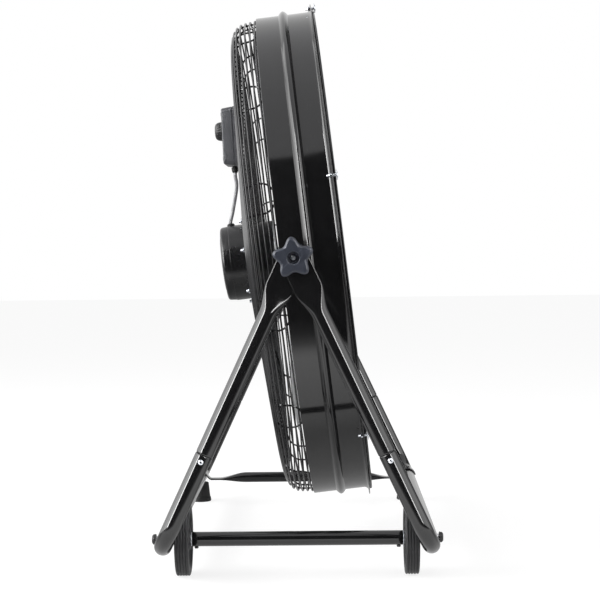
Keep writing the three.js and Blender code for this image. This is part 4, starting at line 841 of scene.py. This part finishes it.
joint_screw = socket_screw(3.9, 2.4, shank=2.2, length=8, socket=1.5)
for end_name, end in ENDS.items():
    for side_name, side in SIDES.items():
        piece(f"upper_leg_{end_name}_{side_name}", [upper_leg(end, side)], gloss_black, "stand",
              [f"leg_{end_name}_{side_name}"])
        seat = leg_point(end, side, SEAM + 10, TUBE - 0.3)
        piece(f"joint_screw_{end_name}_{side_name}", [joint_screw], zinc, "stand",
              [f"leg_screw_{end_name}_{side_name}"], facing(seat, (0, side, 0)))
    piece(f"bent_frame_{end_name}", [lower_frame(end)], gloss_black, "stand",
          [f"lower_frame_{end_name}"])

# -------- axle and wheels

WHEEL_RADIUS, WHEEL_HALF = 52.5, 10.0
WHEEL_TO_FRAME = 4.2
WHEEL_MIDDLE = BASE_HALF - TUBE - WHEEL_TO_FRAME - WHEEL_HALF
WHEEL_SIDE = -(LEG_PLANE - 74)
DISH_FACE = WHEEL_HALF - 4
WHEEL_RIBS, GROOVES = 6, (-6, -2, 2, 6)
AXLE, AXLE_BORE, AXLE_TUBE, WASHER = 5, 5.7, 10.5, 1.5
AXLE_TUBE_END = WHEEL_MIDDLE - WHEEL_HALF - RUN - WASHER - TOUCH
AXLE_END = BASE_HALF + TUBE + 4.3


def axle_spot(distance, end=1):
    return facing((end * distance, WHEEL_SIDE, WHEEL_RADIUS), (end, 0, 0))


def groove(at, width=1.4, depth=1.3):
    return [(WHEEL_RADIUS, at - width / 2), (WHEEL_RADIUS - depth, at - width / 2 + 0.25),
            (WHEEL_RADIUS - depth, at + width / 2 - 0.25), (WHEEL_RADIUS, at + width / 2)]


def wheel_body():
    half = [(WHEEL_RADIUS, WHEEL_HALF - 1.8), (WHEEL_RADIUS - 0.6, WHEEL_HALF - 0.6),
            (WHEEL_RADIUS - 2, WHEEL_HALF), (41.2, WHEEL_HALF), (40.6, WHEEL_HALF - 0.8),
            (39.4, WHEEL_HALF - 0.8), (38.8, WHEEL_HALF - 0.2), (37.6, DISH_FACE), (16, DISH_FACE),
            (14, WHEEL_HALF), (9, WHEEL_HALF), (8.6, WHEEL_HALF - 0.6), (AXLE_BORE, WHEEL_HALF - 0.6)]
    profile = [(r, -h) for r, h in half[::-1]]
    for at in GROOVES:
        profile += groove(at)
    profile += half
    profile.append(profile[0])
    return turned(soft(profile, 0.35, 3), 144)


def wheel_rib(angle, side):
    """A rib of the dish, from the hub to the rim."""
    out = np.array((math.cos(angle), math.sin(angle), 0))
    across = np.array((-math.sin(angle), math.cos(angle), 0))
    up = np.array((0, 0, side))
    low, high = DISH_FACE - 0.4, DISH_FACE + 2.8
    rings = []
    for radius, half in ((13.6, 3.4), (22, 2.6), (32, 2.4), (38.3, 3.2)):
        corners = [(-half, low), (-half, high - 0.6), (-half + 0.6, high), (half - 0.6, high),
                   (half, high - 0.6), (half, low)]
        rings.append(np.array([out * radius + across * a + up * b for a, b in corners]))
    return skin(rings)


cap_nut = turned(soft([
    (5.3, 0), (8, 0), (8, 1), (7.6, 1.4), (7.6, 3.8), (5.2, 6), (0, 6), (0, 4.3), (5.3, 4.3), (5.3, 0)],
    [0.2, 0.3, 0.3, 0.3, 1.2, 1.5, 0, 0, 0.3, 0.2]), 48)
grub = turned([(0, -5.2), (1.8, -5.2), (1.8, 0), (2.9, 0), (2.9, 2.2), (2.5, 2.6), (hexagon(2.6), 2.6),
               (hexagon(2.6), 1.2), (0, 1.0)], 48)
for end_name, end in ENDS.items():
    shapes = [wheel_body()]
    shapes += [wheel_rib(k / WHEEL_RIBS * TAU, side) for k in range(WHEEL_RIBS) for side in (-1, 1)]
    piece(f"moulded_wheel_{end_name}", shapes, tyre_rubber, f"{end_name}_wheel",
          [f"wheel_{end_name}"], axle_spot(WHEEL_MIDDLE, end))
    piece(f"plain_washer_{end_name}", [turned(sleeve(AXLE_BORE, 10, 0, WASHER, 0.3), 48)], zinc, "stand",
          [f"axle_washer_{end_name}"], axle_spot(AXLE_TUBE_END + TOUCH, end))
    piece(f"cap_nut_{end_name}", [cap_nut], oxide, "stand", [f"axle_nut_{end_name}"],
          axle_spot(BASE_HALF + TUBE + TOUCH, end))
    seat = (end * (AXLE_TUBE_END - 6), WHEEL_SIDE, WHEEL_RADIUS - AXLE_TUBE - TOUCH)
    piece(f"tube_set_screw_{end_name}", [grub], oxide, "stand",
          [f"axle_set_screw_{end_name}"], facing(seat, (0, 0, -1)))

piece("wheel_axle_tube", [turned(sleeve(AXLE_BORE, AXLE_TUBE, -AXLE_TUBE_END, AXLE_TUBE_END, 0.6), 64)],
      gloss_black, "stand", ["axle_tube"], axle_spot(0))
rod = soft([(0, -AXLE_END), (AXLE, -AXLE_END), (AXLE, AXLE_END), (0, AXLE_END)], [0, 0.8, 0.8, 0])
piece("wheel_axle_rod", [turned(rod, 32)], steel, "stand", ["axle_rod"], axle_spot(0))

# -------- feet and far brace

FOOT_SIDE, BRACE_SIDE = LEG_PLANE - 65, LEG_PLANE - 98
BRACE = 9.2
STRAP_HALF, STRAP_THICK = 11.0, 2.5
STRAP_DROP = 2.6  # how far the brace's axis lies below the axes of the cross tubes
WRAP_FROM, WRAP_TO = 168, 42
FLAT_START, FLAT_END = BASE_HALF - 22, BASE_HALF - 35
BRACE_NECK = 52
foot = soft([(0, 0), (17.8, 0), (19, 1.2), (18.3, 7.6), (17.3, 8.4), (14.6, 33.6), (13.4, 35), (4, 35),
             (4, 43.5), (0, 43.5)], [0, 0.6, 0.8, 0.6, 0.6, 1.2, 0.8, 0.3, 0.5, 0])
for end_name, end in ENDS.items():
    piece(f"tapered_foot_{end_name}", [turned(foot, 96)], rubber, "stand", [f"foot_{end_name}"],
          Matrix.Translation((end * BASE_HALF, FOOT_SIDE, 0)))


def far_brace():
    """A tube whose flattened ends lie on the cross tubes and curve down beyond them."""
    half = STRAP_THICK / 2
    wrap = TUBE + TOUCH + half
    upright = math.pi / 2
    stations = []
    for turn in np.linspace(WRAP_FROM, WRAP_TO, 15):
        angle = math.radians(turn)
        stations.append((BASE_HALF - wrap * math.cos(angle), wrap * math.sin(angle), angle, STRAP_HALF, half))
    x, z, lean = stations[-1][:3]
    for share in (0.25, 0.5, 0.75, 1):
        stations.append((x + (FLAT_START - x) * share, z + (-STRAP_DROP - z) * (1 - (1 - share) ** 1.6),
                         lean + (upright - lean) * ease(share), STRAP_HALF, half))
    for share in np.linspace(0, 1, 14):
        e = ease(share)
        stations.append((FLAT_END - BRACE_NECK * share, -STRAP_DROP * (1 - e), upright,
                         STRAP_HALF + (BRACE - STRAP_HALF) * e, half + (BRACE - half) * e))
    rings = []
    for end in (1, -1):
        for x, z, lean, wide, thick in stations[::end]:
            centre = np.array((end * x, BRACE_SIDE, CROSS_HEIGHT + z))
            normal = np.array((-end * math.cos(lean), 0, math.sin(lean)))
            rings.append(ring(centre, np.array((0.0, 1.0, 0.0)), normal, wide, thick, 40))
    return skin(rings)


piece("far_brace_tube", [far_brace()], gloss_black, "stand", ["far_brace"])
strap_screw = socket_screw(4.6, 2.8, shank=2.4, length=8, socket=2.0)
for end_name, end in ENDS.items():
    seat = (end * BASE_HALF, BRACE_SIDE, CROSS_HEIGHT + TUBE + STRAP_THICK + TOUCH)
    piece(f"strap_screw_{end_name}", [strap_screw], oxide, "stand",
          [f"brace_screw_{end_name}"], facing(seat, (0, 0, 1)))

# -------- pivots and star knobs

KNOB_SEAT = LEG_PLANE + PLATE_OFFSET + PLATE_THICK / 2 + TOUCH
STAR_BASE = 6.0
KNOB_FACE = STAR_BASE + 19.0
FACE_ROUND, BACK_ROUND = 5.0, 2.5
STAR_VALLEY, STAR_TIP, STAR_TURN = 20.5, 29.5, math.radians(96)
RECESS, RECESS_DEPTH, RECESS_EDGE = 8.8, 9.0, 0.7
PIVOT_BOLT, PIVOT_BORE, PIVOT_PITCH = 4, 4.7, 1.25
PIVOT_HEAD, HEAD_RADIUS = 5.3, 7.4


def star(inset_by):
    """Reach of the five lobes at each angle."""
    def reach(angles):
        wave = ((1 + np.cos(5 * (angles - STAR_TURN))) / 2) ** 1.25
        return STAR_VALLEY + (STAR_TIP - STAR_VALLEY) * wave - inset_by
    return reach


knob = [(PIVOT_BORE, 0), (12.6, 0), (13, 0.4), (13, STAR_BASE - 0.4), (13.4, STAR_BASE)]
for angle in np.radians(np.linspace(0, 90, 6)):
    knob.append((star(BACK_ROUND * (1 - math.sin(angle))), STAR_BASE + BACK_ROUND * (1 - math.cos(angle))))
for angle in np.radians(np.linspace(0, 90, 9)):
    knob.append((star(FACE_ROUND * (1 - math.cos(angle))), KNOB_FACE - FACE_ROUND * (1 - math.sin(angle))))
# Two more rings keep the flat face flat up to its edges
knob += [(star(FACE_ROUND + 0.5), KNOB_FACE), (RECESS + 0.5 + RECESS_EDGE, KNOB_FACE),
         (RECESS + RECESS_EDGE, KNOB_FACE), (RECESS, KNOB_FACE - RECESS_EDGE),
         (RECESS, KNOB_FACE - RECESS_DEPTH), (PIVOT_BORE, KNOB_FACE - RECESS_DEPTH), (PIVOT_BORE, 0)]
knob = turned(knob, 200)
head, tip = BORE - TOUCH, KNOB_SEAT + KNOB_FACE - 4
bolt = [(0, head - PIVOT_HEAD), (HEAD_RADIUS, head - PIVOT_HEAD), (HEAD_RADIUS, head), (PIVOT_BOLT, head),
        (PIVOT_BOLT, tip - 9)]
bolt += thread(PIVOT_BOLT, tip - 9, tip - 0.9, PIVOT_PITCH) + [(3.1, tip), (0, tip)]
start, stop = DRUM_RADIUS + TOUCH, LEG_PLANE - PLATE_OFFSET - PLATE_THICK / 2 - TOUCH
spacer = soft([(PIVOT_BORE, start), (15, start), (15, start + 1.6), (12, start + 2.2), (12, stop),
               (PIVOT_BORE, stop), (PIVOT_BORE, start)], 0.4)
for side_name, side in SIDES.items():
    pivot = facing((0, 0, PIVOT_HEIGHT), (0, side, 0))
    # x across, seen from outside, y up and z out
    outside = framed((0, side * KNOB_SEAT, PIVOT_HEIGHT), (-side, 0, 0), (0, 0, 1), (0, side, 0))
    piece(f"star_knob_{side_name}", [knob], knob_plastic, f"{side_name}_clamp",
          [f"clamp_knob_{side_name}"], outside, sharp=50)
    piece(f"pivot_bolt_set_{side_name}", [turned(bolt, 48)], zinc, "drum",
          [f"pivot_bolt_{side_name}"], pivot)
    piece(f"pivot_spacer_set_{side_name}", [turned(spacer, 64)], oxide, "drum",
          [f"pivot_spacer_{side_name}"], pivot)

# -------- carried-over nodes

for name, look in (("stator", steel), ("rotor", steel)):
    mesh = frame["nodes"][name].data
    mesh.materials.clear()
    mesh.materials.append(look)

# -------- floor, light and camera

scene = bpy.context.scene


WHITE = (1, 1, 1, 1)
FLOOR_HALF, FLOOR_COLOUR = 12, (0.9, 0.9, 0.9, 1)
FLOOR_GLOW, GLOW_SHARE = 1.1, 0.72  # what the camera sees of the floor besides its shadows

# Reflections see a floor painted with light and shade: a painted bright pool in front of the fan, a painted
# shadow under it, and painted dark towards the camera. Radiance at places along Y, in metres.
GLOW_FROM, GLOW_TO, GLOW_MOST = -1.2, 1.2, 2.0
GLOWS = [(-1.05, 0.03), (-0.86, 0.2), (-0.755, 0.7), (-0.7, 1.5), (-0.65, 1.9), (-0.52, 1.65), (-0.4, 1.3),
         (-0.35, 1.0), (-0.28, 0.6), (-0.2, 0.6), (-0.15, 0.53), (-0.1, 0.5), (0.3, 0.5), (0.8, 0.7)]

mesh = bpy.data.meshes.new("floor")
mesh.from_pydata([(x * FLOOR_HALF, y * FLOOR_HALF, 0) for x, y in ((-1, -1), (1, -1), (1, 1), (-1, 1))],
                 [], [(0, 1, 2, 3)])
linked("floor", mesh)
look = bpy.data.materials.new("pale_floor")
mesh.materials.append(look)
tree = Tree(look, True)
matt = tree.add("BsdfDiffuse", {"Color": FLOOR_COLOUR})
glow = tree.add("Emission", {"Color": WHITE, "Strength": FLOOR_GLOW})
camera_share = tree.worked("MULTIPLY", tree.add("LightPath", {}, "Is Camera Ray"), GLOW_SHARE)
position = tree.add("SeparateXYZ", {0: tree.add("NewGeometry", {}, "Position")}, "Y")
glows = tree.ramp(position, GLOWS, GLOW_FROM, GLOW_TO, GLOW_MOST)
# Glossy rays see the floor's painted light and painted shadow from the ramp, not its lit colour.
sheen = tree.add("Emission", {"Color": glows, "Strength": GLOW_MOST})
seen = tree.blended(camera_share, matt, glow)
seen = tree.blended(tree.add("LightPath", {}, "Is Glossy Ray"), seen, sheen)
tree.add("OutputMaterial", {0: seen})

# What glossy surfaces see: softboxes to the left and right, dark behind the camera, and a white
# ceiling from 45 degrees up. Each stop gives the bearing from -Y, + to the right, and the radiance.
AMBIENT = 0.62
SKY = 1.25
CEILING = (SKY, SKY, SKY * 1.015, 1)
BAND_LOW, BAND_HIGH, BAND_FADE = -0.7, math.sin(math.radians(45)), 0.015
BACK_WALL = 0.67  # the room grows dimmer towards its back wall
BRIGHTEST = 30.0
STOPS = [(-180, SKY), (-141, SKY), (-139, 2.8), (-117, 2.7), (-115, 4.5), (-91, 4.5), (-89, 7.5), (-57, 7.5),
         (-56, 30), (-49, 30), (-47, 0.02), (26, 0.02), (28, 22), (34, 22), (35, 3.1), (92, 3.1), (96, 2.0),
         (116, 1.0), (136, 0.2), (156, 0.1), (168, SKY), (180, SKY)]

scene.world = bpy.data.worlds.new("studio")
tree = Tree(scene.world, True)
direction = tree.add("TexCoord", {}, "Generated")
x, y, z = (tree.add("SeparateXYZ", {0: direction}, axis) for axis in "XYZ")
bearing = tree.worked("ARCTAN2", x, tree.worked("MULTIPLY", y, -1))
degrees = tree.worked("MULTIPLY", bearing, 360 / TAU)
boxes = tree.worked("MULTIPLY", tree.ramp(degrees, STOPS, -180, 180, BRIGHTEST), BRIGHTEST)
above = tree.ranged(z, 0, 1, BAND_LOW - BAND_FADE, BAND_LOW)
below = tree.ranged(z, 0, 1, BAND_HIGH + BAND_FADE, BAND_HIGH)
colour = tree.mixed(tree.worked("MULTIPLY", above, below), CEILING, boxes)
room = tree.add("Background", {"Color": colour, "Strength": tree.ranged(y, 1, BACK_WALL)})
ambient = tree.add("Background", {"Color": WHITE, "Strength": AMBIENT})
glossy, through = (tree.add("LightPath", {}, f"Is {kind} Ray") for kind in ("Glossy", "Transmission"))
shiny = tree.worked("MAXIMUM", glossy, through)
white = tree.add("Background", {"Color": WHITE})
seen = tree.blended(tree.add("LightPath", {}, "Is Camera Ray"), tree.blended(shiny, ambient, room), white)
tree.add("OutputWorld", {0: seen})


LAMP_UP, AIM_UP, LAMP_TALL = 1.3, 1.2, 2.2


def softbox(name, at, aim, width, radiance):
    """An upright lamp of an even brightness, in metres, placed and aimed from above."""
    light = bpy.data.lights.new(name, "AREA")
    light.shape = "RECTANGLE"
    light.size, light.size_y = width, LAMP_TALL
    light.energy = radiance * math.pi * width * LAMP_TALL
    lamp = linked(name, light)
    lamp.location = (*at, LAMP_UP)
    way = Vector((*aim, AIM_UP)) - Vector((*at, LAMP_UP))
    lamp.rotation_euler = way.to_track_quat("-Z", "Z").to_euler()
    lamp.visible_glossy = False


softbox("left_softbox", (-2.25, -0.4), (-0.1, -0.4), 1.3, 6.0)
softbox("left_fill", (-2.25, 0.95), (-0.1, 0.95), 1.4, 3.0)
softbox("left_strip", (-2.2, -1.16), (0, -0.4), 0.16, 20.0)
softbox("right_softbox", (2.25, -0.4), (0.1, -0.4), 1.3, 2.6)
softbox("right_strip", (2.2, -1.12), (0, -0.4), 0.12, 10.0)

# The camera, as fitted to the photograph: pixels of a frame that is 600 wide, and metres
LENS_PIXELS, FRAME_PIXELS = 1754.3, 600.0
AIM = (325.35, 240.7)
CAMERA_ROLL = math.radians(0.618)
CAMERA_AT = (0.0439, -2.8913, 0.4836)
camera = linked("camera", bpy.data.cameras.new("camera"))
camera.data.lens = LENS_PIXELS / FRAME_PIXELS * camera.data.sensor_width
camera.data.clip_end = 100
camera.location = CAMERA_AT
yaw = math.atan((FRAME_PIXELS / 2 - AIM[0]) / LENS_PIXELS)
pitch = math.atan((AIM[1] - FRAME_PIXELS / 2) / LENS_PIXELS)
way = Vector((math.sin(yaw) * math.cos(pitch), math.cos(yaw) * math.cos(pitch), math.sin(pitch)))
camera.rotation_euler = (way.to_track_quat("-Z", "Y") @ Quaternion((0, 0, 1), -CAMERA_ROLL)).to_euler()
scene.camera = camera
scene.view_settings.view_transform = "Standard"
